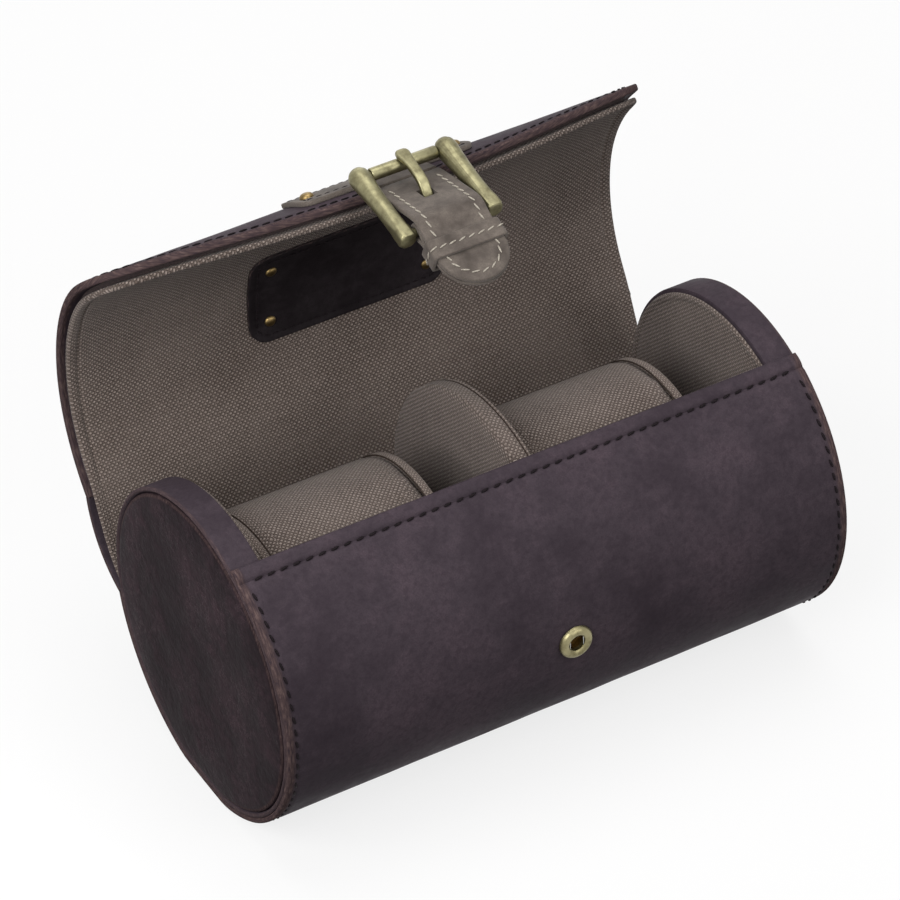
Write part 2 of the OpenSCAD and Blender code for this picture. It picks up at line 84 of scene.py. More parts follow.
# The strap's places with the lid closed and snapped, round the drum's axis
flexA = edgeA + degrees(asin(strapT / yokeR))
flex = polar(yokeR + strapT / 2, flexA)
roller = polar(yokeR + strapT / 2 + 5.1, flexA + 0.4)
tailA = 268.0
tailR = wrapR + 0.05 + 1.9 + 0.35 + 0.5 + 0.05
tailT = polar(1, tailA)
drop = degrees(acos((tailR - (roller[0] * tailT[1] - roller[1] * tailT[0])) / buckleL))
buckleA = tailA + drop - 90
step = polar(buckleL, buckleA)
base = (roller[0] + step[0], roller[1] + step[1])
studAway = -(base[0] * tailT[0] + base[1] * tailT[1])
tipReach = studAway + 6.7
lapZ = billetT + play + strapT / 2
billetR = baseBarD / 2 + 0.1 + billetT
overBarZ = billetR + play + strapT / 2


# From a piece's own place to where it lies with the lid open at rest, joint by joint
def onDrum(p):
    return (p[0], p[1] + axisZ)


def onLid(p):
    return onDrum(turned(p, pivot, -66))


def onStrap(p):
    return onLid(turned(p, flex, -4))


def onBuckle(p):
    q = turned(p, (0, 0), buckleA - 180)
    return onStrap((roller[0] + q[0], roller[1] + q[1]))


def onTail(p):
    q = turned(p, (0, 0), tailA - 180)
    return onStrap((base[0] + q[0], base[1] + q[1]))


def tailInBuckle(p):
    q = turned(p, (0, 0), tailA - buckleA)
    return (q[0] - buckleL, q[1])


# A line across the drum that is read by its length, with its normal on the outer side
def smoothLine(points, rounds):
    for _ in range(rounds):
        cut = [points[0]]
        for a, b in zip(points, points[1:]):
            cut.append((a[0] * 0.75 + b[0] * 0.25, a[1] * 0.75 + b[1] * 0.25))
            cut.append((a[0] * 0.25 + b[0] * 0.75, a[1] * 0.25 + b[1] * 0.75))
        points = cut + [points[-1]]
    return points


def makeLine(points, side=-1):
    lengths = [0.0]
    for a, b in zip(points, points[1:]):
        lengths.append(lengths[-1] + hypot(b[0] - a[0], b[1] - a[1]))
    return {"points": points, "lengths": lengths, "side": side, "total": lengths[-1]}


def lineAt(line, s):
    lengths, points = line["lengths"], line["points"]
    k = min(max(bisect_right(lengths, s) - 1, 0), len(points) - 2)
    a, b = points[k], points[k + 1]
    t = (s - lengths[k]) / max(lengths[k + 1] - lengths[k], 1e-9)
    return (a[0] + (b[0] - a[0]) * t, a[1] + (b[1] - a[1]) * t)


def lineFrame(line, s, reach):
    a, b = lineAt(line, s - reach), lineAt(line, s + reach)
    d = hypot(b[0] - a[0], b[1] - a[1])
    return lineAt(line, s), (-(b[1] - a[1]) / d * line["side"], (b[0] - a[0]) / d * line["side"])


# Gives the place of (x, length along the line, way out), where flip and shift change the way out
def across(line, reach, flip=1, shift=0, start=0):
    def place(x, s, out):
        p, n = lineFrame(line, s + start, reach)
        out = flip * (out + shift)
        return Vector((x, p[0] + n[0] * out, p[1] + n[1] * out))
    return place


def arcLine(r, a0, a1, move, n):
    return makeLine([move(polar(r, a0 + (a1 - a0) * k / n)) for k in range(n + 1)])


def groove(d, at, width, depth):
    return -depth * exp(-((d - at) / width) ** 2)


def ripple(u, s, size, depth):
    return depth * noise.noise(Vector((u / size, s / size, 3.7)))


def ramp(x):
    return min(1.0, max(0.0, x))


def steps(lo, hi, n):
    return [lo + (hi - lo) * k / n for k in range(n + 1)]


def linear(code):
    parts = [int(code[k:k + 2], 16) / 255 for k in (1, 3, 5)]
    return tuple(c / 12.92 if c <= 0.04045 else ((c + 0.055) / 1.055) ** 2.4 for c in parts) + (1.0,)


# Adds a node and gives back the output that is used next. Capitalised names are its inputs,
# with _ for a blank, numbered inputs come in a dictionary, and the rest are settings
def add(tree, kind, numbered=None, out=0, stops=(), **named):
    made = tree.nodes.new("ShaderNode" + kind)
    links = dict(numbered or {})
    for key, value in named.items():
        if key[0].isupper():
            links[key.replace("_", " ")] = value
        else:
            setattr(made, key, value)
    for k, (place, code) in enumerate(stops):
        band = made.color_ramp.elements[k] if k < 2 else made.color_ramp.elements.new(place)
        band.position = place
        band.color = linear(code) if isinstance(code, str) else (code, code, code, 1)
    for key, value in links.items():
        if isinstance(value, bpy.types.NodeSocket):
            tree.links.new(value, made.inputs[key])
        elif value is not None:
            made.inputs[key].default_value = linear(value) if isinstance(value, str) else value
    return made.outputs[out] if made.outputs else None


def makeMaterial(name, look, *values, **more):
    mat = bpy.data.materials.new(name)
    mat.use_nodes = True
    mat.node_tree.nodes.clear()
    new = partial(add, mat.node_tree)
    new("OutputMaterial", Surface=look(new, *values, **more))
    return mat


# Full-grain waxed leather, cut from the hide: the wax gives the eye soft clouds where it has
# moved, pale creases, fine pores with a low gloss, and a matt fibrous edge where it was cut
# ("cut" is 1 there). Sizes of the clouds, rubs, mottle and grain are in mm
def leather(new, dark, mid, light, raw, shine, spec, peel=0.0, crack=0.4):
    spot = new("TexCoord", out="Object")
    cloud, patch, speck, fine = [
        new("TexNoise", Vector=spot, Scale=1000 / size, Detail=detail, Roughness=rough)
        for size, detail, rough in ((28, 5, 0.6), (7, 4, 0.65), (1.7, 3, 0.5), (0.45, 2, 0.5))]
    rubbed = new("ValToRGB", Fac=patch, stops=[(0.5, 0.0), (0.8, 0.35)])
    mottled = new("ValToRGB", Fac=speck, stops=[(0.35, 0.35), (0.56, 0.0)])
    grained = new("ValToRGB", Fac=fine, stops=[(0.35, 0.25), (0.6, 0.0)])
    # Creases: thin lines where a leaned 9 mm noise crosses its middle, only where the wax is pale
    leaned = new("Mapping", Vector=spot, Rotation=(0.4, 0.3, 0.6))
    pulled = new("TexNoise", Vector=leaned, Scale=1000 / 9, Detail=6.0, Roughness=0.7)
    line = new("ValToRGB", Fac=pulled, stops=[(0.487, 0.0), (0.513, 0.0), (0.5, 1.0)])
    pale = new("ValToRGB", Fac=cloud, stops=[(0.42, 0.0), (0.6, crack)])
    crease = new("Math", {0: line, 1: pale}, operation="MULTIPLY")
    # Cut edge: fibres 0.4 mm apart that run 3 mm along it, read from the UV, where 1 is 100 mm
    along = new("Mapping", Vector=new("TexCoord", out="UV"), Scale=(100 / 0.4, 100 / 3, 1))
    fibre = new("TexNoise", Vector=along, Scale=1.0, Detail=4.0, Roughness=0.65)
    fibrous = new("ValToRGB", Fac=fibre, stops=[(0.3, dark), (0.75, "#77645f"), (0.52, raw)])
    cut = new("Attribute", out="Fac", attribute_name="cut")
    tone = new("ValToRGB", Fac=cloud, stops=[(0.2, dark), (0.9, light), (0.5, mid)])
    covers = ((rubbed, light), (mottled, dark), (crease, light), (grained, dark), (cut, fibrous))
    for share, over in covers:
        tone = new("Mix", {0: share, 6: tone, 7: over}, 2, data_type="RGBA")
    waxed = new("ValToRGB", Fac=patch, stops=[(0.3, shine - 0.07), (0.7, shine + 0.12)])
    rough = new("Mix", {0: cut, 6: waxed, 7: (0.85, 0.85, 0.85, 1)}, 2, data_type="RGBA")
    pores = new("TexVoronoi", Vector=spot, Scale=1000 / 1.1, feature="SMOOTH_F1")  # 1.1 mm
    skin = new("Mix", {0: cut, 2: fine, 3: fibre})
    bump = None
    bumps = ((cloud, 0.3, 0.0012), (patch, peel, 0.0006), (crease, 0.4, 0.0001), (pores, 0.25, 0.0001),
        (skin, 0.4, 0.0001))
    for height, strength, depth in bumps:
        bump = new("Bump", Height=height, Strength=strength, Distance=depth, Normal=bump)
    return new("BsdfPrincipled", Base_Color=tone, Roughness=rough, Normal=bump, Specular_IOR_Level=spec)


# Cotton canvas, woven plain: round slubby yarns that cross over and under, with no gloss, a little fuzz,
# and painted shade that darkens the low places between the yarns. The pitch is one yarn in mm, read from
# the UV, where 1 is 100 mm
def canvasWeave(new, dark, mid, light, pitch=0.7):
    uv = new("TexCoord", out="UV")
    sheet = new("Mapping", Vector=uv, Scale=(100 / pitch, 100 / pitch, 1))
    wander = new("TexNoise", Vector=sheet, Scale=0.3, Detail=2.0, out="Color")
    bent = new("VectorMath", {0: wander, 1: (0.6, 0.6, 0.0), 2: sheet}, operation="MULTIPLY_ADD")
    cells, crowns, yarns = [], [], []
    for axis in ("X", "Y"):
        way = new("SeparateXYZ", {0: bent}, axis)
        cells.append(new("Math", {0: way}, operation="FLOOR"))
        crowns.append(new("Math", {0: way, 1: 0.5}, operation="PINGPONG"))
        yarns.append(new("TexWhiteNoise", W=cells[-1], noise_dimensions="1D"))
    over = new("Math", {0: cells[0], 1: cells[1]})
    over = new("Math", {0: over, 1: 2.0}, operation="FLOORED_MODULO")
    rounds = []
    for own, other in (crowns, crowns[::-1]):
        bulge = new("Math", {0: own, 1: 0.55}, operation="POWER")
        rounds.append(new("Math", {0: bulge, 1: new("Math", {0: other, 1: 0.5})}, operation="MULTIPLY"))
    height = new("Mix", {0: over, 2: rounds[0], 3: rounds[1]})
    cell = new("CombineXYZ", {0: cells[0], 1: cells[1]})
    slub = new("TexWhiteNoise", Vector=cell, noise_dimensions="2D")
    yarn = new("Mix", {0: over, 2: yarns[0], 3: yarns[1]})
    mixed = new("Mix", {0: 0.4, 2: slub, 3: yarn})
    mixed = new("MapRange", Value=mixed, To_Min=0.3, To_Max=0.75)
    upper = new("ValToRGB", Fac=mixed, stops=[(0.05, mid), (0.95, light)])
    lower = new("ValToRGB", Fac=mixed, stops=[(0.05, dark), (0.95, mid)])
    # Painted shade: where the yarn height is low, between the yarns, the colour is darkened
    gap = new("ValToRGB", Fac=height, stops=[(0.14, 0.9), (0.42, 0.0)])
    spot = new("TexCoord", out="Object")
    worn = new("TexNoise", Vector=spot, Scale=1000 / 26, Detail=3.0)  # 26 mm paler places
    worn = new("ValToRGB", Fac=worn, stops=[(0.4, 0.0), (0.8, 0.18)])
    tone = lower
    for share, cover in ((over, upper), (gap, dark), (worn, light)):
        tone = new("Mix", {0: share, 6: tone, 7: cover}, 2, data_type="RGBA")
    fuzz = new("TexNoise", Vector=spot, Scale=1000 / 0.2, Detail=2.0)  # 0.2 mm fuzz
    bump = new("Bump", Height=height, Strength=1.0, Distance=0.0004)
    bump = new("Bump", Height=fuzz, Strength=0.35, Distance=0.00012, Normal=bump)
    return new("BsdfPrincipled", Base_Color=tone, Roughness=0.88, Normal=bump, Specular_IOR_Level=0.1,
        Sheen_Weight=0.12)


# Nubuck, leather sanded to a nap: matt, with cloudy 6 mm strokes where the 0.4 mm nap lies over
# and paler cut edges
def nubuckNap(new, dark, mid, light):
    spot = new("TexCoord", out="Object")
    stroke, nap = [new("TexNoise", Vector=spot, Scale=1000 / size, Detail=detail, Roughness=0.6)
        for size, detail in ((6, 4), (0.4, 3))]
    tone = new("ValToRGB", Fac=stroke, stops=[(0.32, dark), (0.7, light), (0.5, mid)])
    lying = new("ValToRGB", Fac=nap, stops=[(0.35, 0.35), (0.62, 0.0)])
    edge = new("ValToRGB", Fac=nap, stops=[(0.35, mid), (0.65, light)])
    cut = new("Attribute", out="Fac", attribute_name="cut")
    for share, over in ((lying, dark), (cut, edge)):
        tone = new("Mix", {0: share, 6: tone, 7: over}, 2, data_type="RGBA")
    bump = new("Bump", Height=stroke, Strength=0.2, Distance=0.0006)
    bump = new("Bump", Height=nap, Strength=0.45, Distance=0.00012, Normal=bump)
    return new("BsdfPrincipled", Base_Color=tone, Roughness=0.86, Normal=bump, Specular_IOR_Level=0.1,
        Sheen_Weight=0.15)


# Cast brass, plated an antique colour and brushed: a warm metal with brown tarnish in 3.5 mm
# patches and faint brush lines 0.25 mm apart
def castMetal(new, bright, tarnish, rough, spread):
    spot = new("TexCoord", out="Object")
    age = new("TexNoise", Vector=spot, Scale=1000 / 3.5, Detail=5.0, Roughness=0.65)
    brushed = new("Mapping", Vector=spot, Scale=(1, 0.12, 0.12))
    lines = new("TexNoise", Vector=brushed, Scale=1000 / 0.25, Detail=2.0)
    dull = new("ValToRGB", Fac=age, stops=[(0.4, 0.0), (0.7, spread)])
    tone = new("Mix", {0: dull, 6: bright, 7: tarnish}, 2, data_type="RGBA")
    rubbed = new("ValToRGB", Fac=age, stops=[(0.3, rough - 0.06), (0.75, rough + 0.16)])
    bump = new("Bump", Height=lines, Strength=0.2, Distance=0.00004)
    return new("BsdfPrincipled", Base_Color=tone, Metallic=1.0, Roughness=rubbed, Normal=bump)


# Waxed linen thread: two twisted plies that look like light and dark bands 0.3 mm wide. Grey
# board, pressed from paper pulp, is matt and speckled with 0.5 mm fibres
def fibres(new, dark, light, size=0.3, detail=2, coarse=0.5, low=0.35, high=0.62, depth=0.4, rough=0.7,
        spec=0.1):
    spot = new("TexCoord", out="Object")
    pulp = new("TexNoise", Vector=spot, Scale=1000 / size, Detail=detail, Roughness=coarse)
    tone = new("ValToRGB", Fac=pulp, stops=[(low, dark), (high, light)])
    bump = new("Bump", Height=pulp, Strength=depth, Distance=0.0001)
    return new("BsdfPrincipled", Base_Color=tone, Roughness=rough, Normal=bump, Specular_IOR_Level=spec)


plum = makeMaterial("plum waxed leather", leather, "#30292f", "#433b41", "#554950", "#4f403f", 0.45, 0.012)
# A darker, glossier copy of the plum leather for the end discs: its darker base colours are partly painted
# shade on the side-facing ends
shadedEndPlum = makeMaterial("burnished plum leather of the ends", leather, "#171215", "#281f23", "#4b3b41",
    "#4f403f", 0.4, 0.01, peel=0.4, crack=0.8)
labelLeather = makeMaterial("near-black label leather", leather, "#1a1618", "#282426", "#373134",
    "#322b2d", 0.5, 0.03)
canvas = makeMaterial("taupe canvas", canvasWeave, "#3c322d", "#71645d", "#a3968e")
paleCanvas = makeMaterial("pale binding canvas", canvasWeave, "#463b35", "#7b6e66", "#ab9c93", 0.55)
nubuck = makeMaterial("grey-brown nubuck", nubuckNap, "#4b443f", "#605852", "#776e66")
brass = makeMaterial("antique brass", castMetal, "#8f8a6b", "#4a4431", 0.38, 0.75)
socketBrass = makeMaterial("rubbed brass of the snap ring", castMetal, "#948d6c", "#484129", 0.36, 0.75)
darkBrass = makeMaterial("aged brass of the rivets and snap", castMetal, "#8f7a52", "#43361f", 0.34, 0.8)
steel = makeMaterial("spring steel", castMetal, "#b9bab8", "#77736b", 0.3, 0.3)
darkThread = makeMaterial("dark waxed thread", fibres, "#0d0a0c", "#1f181b")
paleThread = makeMaterial("pale waxed thread", fibres, "#8a8378", "#bdb6a9")
# Painted shade: a dark cord laid into the seams, where the gap lies in shadow
seamShadeCord = makeMaterial("dark seam cord, painted shade", fibres, "#241d1a", "#3b312b")
board = makeMaterial("grey board", fibres, "#2a2226", "#4a3d3a", 0.5, 4, 0.7, 0.3, 0.7, 0.3, 0.9, 0.5)


# A part of the CAD that is kept as it is gets its material in every slot
def paint(mat, *names):
    for name in names:
        for spot in nodes[name].material_slots:
            spot.material = mat


paint(board, "end_core_left", "end_core_right", "divider_core", "lid_board")
paint(steel, "snap_spring")
paint(darkBrass, "snap_back")
print("materials made", flush=True)


# Every piece is drawn in mm and scaled to metres at the end
def finishMesh(name, bm, mat, body, slot, *replaced, angle=40):
    mesh = bpy.data.meshes.new(name)
    bm.normal_update()
    bm.to_mesh(mesh)
    bm.free()
    mesh.transform(Matrix.Scale(0.001, 4))
    for face in mesh.polygons:
        face.use_smooth = True
    if angle:
        mesh.set_sharp_from_angle(angle=radians(angle))
    obj = bpy.data.objects.new(name, mesh)
    bpy.context.scene.collection.objects.link(obj)
    mesh.materials.append(mat)
    if body:
        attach(obj, body)
    if replaced:
        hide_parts(*replaced)
    return obj


# Places to slice at: fine near both ends, coarse between
def slices(lo, hi, fine, reach, coarse):
    near = steps(lo, lo + reach, max(1, round(reach / fine)))
    far = steps(hi - reach, hi, max(1, round(reach / fine)))
    middle = steps(lo + reach, hi - reach, max(1, round((hi - lo - 2 * reach) / coarse)))
    return near[1:] + middle[1:-1] + far[:-1]


def plainRect(half, length):
    return [(-half, 0), (half, 0), (half, length), (-half, length)]


def roundedRect(u0, u1, s0, s1, radius, n):
    points = []
    for cu, cs, a in ((u1 - radius, s0 + radius, -90), (u1 - radius, s1 - radius, 0),
            (u0 + radius, s1 - radius, 90), (u0 + radius, s0 + radius, 180)):
        for k in range(n + 1):
            q = polar(radius, a + 90 * k / n)
            points.append((cu + q[0], cs + q[1]))
    return points


# A piece cut flat from sheet, its edges rounded over, sliced, and bent along its line.
# The UV runs on over the walls, so that fibres lie along a cut edge
def bentSheet(outline, thickness, place, bevel, uSlices, sSlices, relief=None, segments=3, raw=True,
        burnish=None):
    bm = bmesh.new()
    uvLayer = bm.loops.layers.uv.new("UVMap")
    cutLayer = bm.verts.layers.float.new("cut")
    face = bm.faces.new([bm.verts.new((u, s, 0)) for u, s in outline])
    grown = bmesh.ops.extrude_face_region(bm, geom=[face])["geom"]
    under = [v for v in grown if isinstance(v, bmesh.types.BMVert)]
    bmesh.ops.translate(bm, verts=under, vec=(0, 0, -thickness))
    bmesh.ops.recalc_face_normals(bm, faces=bm.faces)
    rims = [e for e in bm.edges if abs(e.verts[0].co.z - e.verts[1].co.z) < 1e-5]
    bmesh.ops.bevel(bm, geom=rims, offset=bevel, segments=segments, profile=0.5, affect="EDGES",
        material=-1)
    planes = [((0, s, 0), (0, 1, 0)) for s in sSlices] + [((u, 0, 0), (1, 0, 0)) for u in uSlices]
    for spot, way in planes:
        bmesh.ops.bisect_plane(bm, geom=bm.verts[:] + bm.edges[:] + bm.faces[:], dist=1e-5,
            plane_co=spot, plane_no=way)
    bm.normal_update()
    for face in bm.faces:
        for loop in face.loops:
            u, s, out = loop.vert.co
            if abs(face.normal.x) > max(0.3, abs(face.normal.y)):
                u += copysign(out, -face.normal.x)
            elif abs(face.normal.y) > 0.3:
                u, s = s + copysign(out, -face.normal.y), u
            loop[uvLayer].uv = (u / 100, s / 100)
    for vert in bm.verts:
        u, s, out = vert.co
        rawness = raw(u, s) if callable(raw) else float(raw)
        vert[cutLayer] = rawness * max(0.0, 1 - 1.25 * abs(vert.normal.z))
        if burnish and abs(vert.normal.z) > 0.3:
            vert[cutLayer] = max(vert[cutLayer], burnish(u, s))
        if relief:
            out += relief(u, s) * max(0.0, 1 + out / (0.6 * thickness))
        vert.co = place(u, s, out)
    bmesh.ops.recalc_face_normals(bm, faces=bm.faces)
    return bm


# How far a ring of radius r is pressed in towards the axis, where it stands flat
def footScale(a, r):
    low = -sin(radians(a))
    if low < 0.5:
        return 1.0
    under = r * low - (r - footDepth)
    return 1 - (under + hypot(under, 0.25)) / 2 / (r * low)


def spinProfile(bm, points, axis, segments, closed=False):
    verts = [bm.verts.new(point) for point in points]
    pairs = list(zip(verts, verts[1:])) + ([(verts[-1], verts[0])] if closed else [])
    edges = [bm.edges.new(pair) for pair in pairs]
    bmesh.ops.spin(bm, geom=verts + edges, cent=(0, 0, 0), axis=axis, angle=tau,
        steps=segments, use_merge=True)


# Profiles of (x, r) points turned about the drum's axis and flattened at the foot.
# Where "worn" holds for (x, r), the leather is half rubbed and so paler; on the end discs' rounded rim
# that paler ring is partly a painted highlight
def turnedPiece(*profiles, segments=144, foot=True, closed=False, worn=None):
    bm = bmesh.new()
    uvLayer = bm.loops.layers.uv.new("UVMap")
    cutLayer = bm.verts.layers.float.new("cut")
    outerR = max(r for _, r in profiles[0])
    for profile in profiles:
        spinProfile(bm, [(x, r, 0) for x, r in profile], (1, 0, 0), segments, closed)
    bmesh.ops.remove_doubles(bm, verts=bm.verts, dist=1e-4)
    for vert in bm.verts:
        x, y, z = vert.co
        if foot:
            k = footScale(degrees(atan2(z, y)), outerR)
            y, z = y * k, z * k
        vert.co = (x, y, z + axisZ)
        if worn and worn(abs(x), hypot(y, z)):
            vert[cutLayer] = 0.5
    bmesh.ops.recalc_face_normals(bm, faces=bm.faces)
    bm.normal_update()
    wrapUv(bm, uvLayer)
    return bm


# A profile of (r, h) points turned about its own axis, standing at a place along a direction
def standing(bm, profile, foot, direction, segments):
    before = set(bm.verts)
    spinProfile(bm, [(r, 0, h) for r, h in profile], (0, 0, 1), segments)
    made = [v for v in bm.verts if v not in before]
    bmesh.ops.remove_doubles(bm, verts=made, dist=1e-4)
    made = [v for v in bm.verts if v not in before]
    turn = Vector((0, 0, 1)).rotation_difference(Vector(direction)).to_matrix().to_4x4()
    bmesh.ops.transform(bm, verts=made, matrix=Matrix.Translation(foot) @ turn)
    bmesh.ops.recalc_face_normals(bm, faces=bm.faces)
    return bm


# UV of a turned piece: faces across the axis lie flat, the rest is rolled out
def wrapUv(bm, uvLayer, scale=1.0):
    for face in bm.faces:
        mid = face.calc_center_median() / scale
        middle = atan2(mid.z - axisZ, mid.y)
        reach = hypot(mid.y, mid.z - axisZ)
        for loop in face.loops:
            p = loop.vert.co / scale
            if abs(face.normal.x) > 0.7:
                loop[uvLayer].uv = (p.y / 100, p.z / 100)
            else:
                a = atan2(p.z - axisZ, p.y)
                if a - middle > pi:
                    a -= tau
                if middle - a > pi:
                    a += tau
                loop[uvLayer].uv = (p.x / 100, a * reach / 100)


# Threads: short rounded stitches pressed into the surface along paths of (u, s) points
def stitches(name, runs, thread, mat, body, slot):
    bm = bmesh.new()
    for place, spots in runs:
        path = [(place(u, s, 0), (place(u, s, 1) - place(u, s, 0)).normalized()) for u, s in spots]
        reach = [0.0]
        for (a, _), (b, _) in zip(path, path[1:]):
            reach.append(reach[-1] + (b - a).length)
        count = max(1, round(reach[-1] / thread["pitch"]))
        k = 0
        for n in range(count):
            middle = reach[-1] / count * (n + 0.5)
            while k < len(path) - 2 and reach[k + 1] < middle:
                k += 1
            (a, na), (b, nb) = path[k], path[k + 1]
            t = (middle - reach[k]) / max(reach[k + 1] - reach[k], 1e-9)
            normal = na.lerp(nb, t).normalized()
            along = (b - a).normalized()
            side = normal.cross(along).normalized()
            lean = thread.get("lean", 0) + random.uniform(-0.06, 0.06)
            along = (along + side * lean).normalized()
            side = normal.cross(along).normalized()
            spot = Matrix((along, side, normal)).transposed().to_4x4()
            spot.translation = a.lerp(b, t) + normal * thread["lift"]
            size = Matrix.Diagonal((thread["length"] / 2, thread["radius"], thread["radius"] * 0.85, 1))
            bmesh.ops.create_uvsphere(bm, u_segments=6, v_segments=6, radius=1,
                matrix=spot @ size @ Matrix.Rotation(pi / 2, 4, "Y"))
    return finishMesh(name, bm, mat, body, slot, angle=0)


def applied(obj):
    bpy.context.view_layer.update()
    done = bpy.data.meshes.new_from_object(obj.evaluated_get(bpy.context.evaluated_depsgraph_get()))
    obj.modifiers.clear()
    obj.data = done


def cutWith(obj, cutters, operation="DIFFERENCE"):
    for cutter in cutters:
        bpy.context.scene.collection.objects.link(cutter)
        tool = obj.modifiers.new("cut", "BOOLEAN")
        tool.object = cutter
        tool.operation = operation
        tool.solver = "EXACT"
    applied(obj)
    for cutter in cutters:
        bpy.data.objects.remove(cutter)


def cutter(bm, matrix=Matrix.Identity(4)):
    bmesh.ops.transform(bm, verts=bm.verts, matrix=Matrix.Scale(0.001, 4) @ matrix)
    bmesh.ops.recalc_face_normals(bm, faces=bm.faces)
    mesh = bpy.data.meshes.new("cutter")
    bm.to_mesh(mesh)
    bm.free()
    return bpy.data.objects.new("cutter", mesh)


def roundCutter(centre, axis, radius, length=12):
    bm = bmesh.new()
    bmesh.ops.create_cone(bm, cap_ends=True, segments=48, radius1=radius, radius2=radius, depth=length)
    turn = Vector((0, 0, 1)).rotation_difference(Vector(axis)).to_matrix().to_4x4()
    return cutter(bm, Matrix.Translation(centre) @ turn)


def boxCutter(low, high, move, lean=0):
    bm = bmesh.new()
    bmesh.ops.create_cube(bm, size=1)
    middle = [(a + b) / 2 for a, b in zip(low, high)]
    for vert in bm.verts:
        p = [middle[k] + vert.co[k] * (high[k] - low[k]) for k in range(3)]
        q = move(turned((p[1], p[2]), (middle[1], middle[2]), lean))
        vert.co = (p[0], q[0], q[1])
    return cutter(bm)


cameraData = bpy.data.cameras.new("camera")
camera = bpy.data.objects.new("camera", cameraData)
bpy.context.scene.collection.objects.link(camera)
bpy.context.scene.camera = camera
camera.location = (-0.56264, -0.92677, 0.99175)
look = Vector((-0.00972, 0.0, 0.08367)) - camera.location
camera.rotation_euler = look.to_track_quat("-Z", "Y").to_euler()
cameraData.lens = 212.99
cameraData.sensor_width = 36
cameraData.clip_start = 0.05

# Soft boxes: place, target, size in metres and power
lightPiece = {"key": ((-1.05, -0.5, 1.05), (0, 0, 0.06), (0.9, 0.9), 14.0),
    "fill": ((0.45, -1.1, 0.95), (0, 0, 0.06), (1.0, 1.0), 7.5),
    "top": ((0.1, 0.2, 1.3), (0, 0, 0.06), (1.2, 0.8), 7.8),
    "back": ((0.3, 1.1, 0.5), (0, 0, 0.08), (1.0, 0.7), 2.4),
    "card": ((-0.24, -0.02, 0.15), (-0.1, 0, 0.085), (0.08, 0.08), 0.09)}
for name, (place, target, size, power) in lightPiece.items():
    data = bpy.data.lights.new(name, "AREA")
    data.shape = "RECTANGLE"
    data.size, data.size_y = size
    data.energy = power
    lamp = bpy.data.objects.new(name, data)
    bpy.context.scene.collection.objects.link(lamp)
    lamp.location = place
    lamp.visible_camera = False
    lamp.rotation_euler = (Vector(target) - Vector(place)).to_track_quat("-Z", "Y").to_euler()


# The camera, metal and glass see plain white, and everything else gets the soft light
def seenWhite(new):
    seen = new("LightPath", out="Is Camera Ray")
    for ray in ("Is Glossy Ray", "Is Transmission Ray"):
        seen = new("Math", {0: seen, 1: new("LightPath", out=ray)}, operation="MAXIMUM")
    return seen


# Grey to the light that bounces off it, so that the drum stays dark underneath, and pale to
# the eye. What the white leaves over keeps the shadow
def whitePaper(new):
    seen = seenWhite(new)
    tint = new("Math", {0: seen, 1: 0.68, 2: 0.12}, operation="MULTIPLY_ADD")
    share = new("Math", {0: seen, 1: 0.78}, operation="MULTIPLY")
    paper = new("BsdfPrincipled", Base_Color=tint, Roughness=0.9, Specular_IOR_Level=0.0)
    white = new("Emission", Color=(1, 1, 1, 1), Strength=1.0)
    return new("MixShader", {0: share, 1: paper, 2: white})


floorMesh = bpy.data.meshes.new("floor")
floorBm = bmesh.new()
bmesh.ops.create_grid(floorBm, x_segments=2, y_segments=2, size=3)
floorBm.to_mesh(floorMesh)
floorBm.free()
floor = bpy.data.objects.new("floor", floorMesh)
bpy.context.scene.collection.objects.link(floor)
floorMesh.materials.append(makeMaterial("white paper floor", whitePaper))

world = bpy.data.worlds.new("studio")
bpy.context.scene.world = world
world.use_nodes = True
world.node_tree.nodes.clear()
new = partial(add, world.node_tree)
soft = new("Background", Color=(1.0, 0.98, 0.97, 1), Strength=0.3)
white = new("Background", Color=(1, 1, 1, 1), Strength=1.0)
new("OutputWorld", Surface=new("MixShader", {0: seenWhite(new), 1: soft, 2: white}))
bpy.context.scene.view_settings.view_transform = "Standard"
print("stage set", flush=True)


# The drum: a leather wrap lined with canvas, closed by a capped end at each side
def drumPath(r, a0, a1, n=220):
    points = []
    for k in range(n + 1):
        a = a0 + (a1 - a0) * k / n
        q = polar(r, a)
        points.append(onDrum((q[0] * footScale(a, r), q[1] * footScale(a, r))))
    return makeLine(points)


wrapPiece = {"start": 114, "end": 345, "stitchIn": 2.7, "rollSeam": 4.6, "bevel": 0.5, "socketA": 178,
    "socketHole": 2.95}
wrapLine = drumPath(wrapR, wrapPiece["start"], wrapPiece["end"])
wrapPlace = across(wrapLine, 1.0)
wrapL = wrapLine["total"]


# A groove under the stitches at the sides, and a rolled edge with its own seam along the front
def wrapRelief(u, s):
    lift = groove(halfL - abs(u), wrapPiece["stitchIn"], 0.55, 0.28)
    lift += ripple(u, s, 21, 0.16) + ripple(u, s, 7, 0.05)
    if s < 9:
        lift += groove(s, wrapPiece["rollSeam"], 0.6, 0.5)
        lift += 0.42 * max(0.0, 1 - ((s - 2.1) / 2.3) ** 2)
    return lift


bm = bentSheet(plainRect(halfL, wrapL), wrapT, wrapPlace, wrapPiece["bevel"],
    slices(-halfL, halfL, 0.5, 5, 3.2), slices(0, wrapL, 0.5, 7.5, 2.6), wrapRelief,
    raw=lambda u, s: float(abs(u) > halfL - 0.9),
    burnish=lambda u, s: 0.85 * ramp((abs(u) - halfL + 2.6) / 1.2))
wrapObj = finishMesh("wrap_leather", bm, plum, "drum", "plum_leather", "wrap")
socketSpot = Vector((0, *onDrum(polar(wrapR, wrapPiece["socketA"]))))
socketOut = Vector((0, *polar(1, wrapPiece["socketA"])))
cutWith(wrapObj, [roundCutter(socketSpot, socketOut, wrapPiece["socketHole"])])

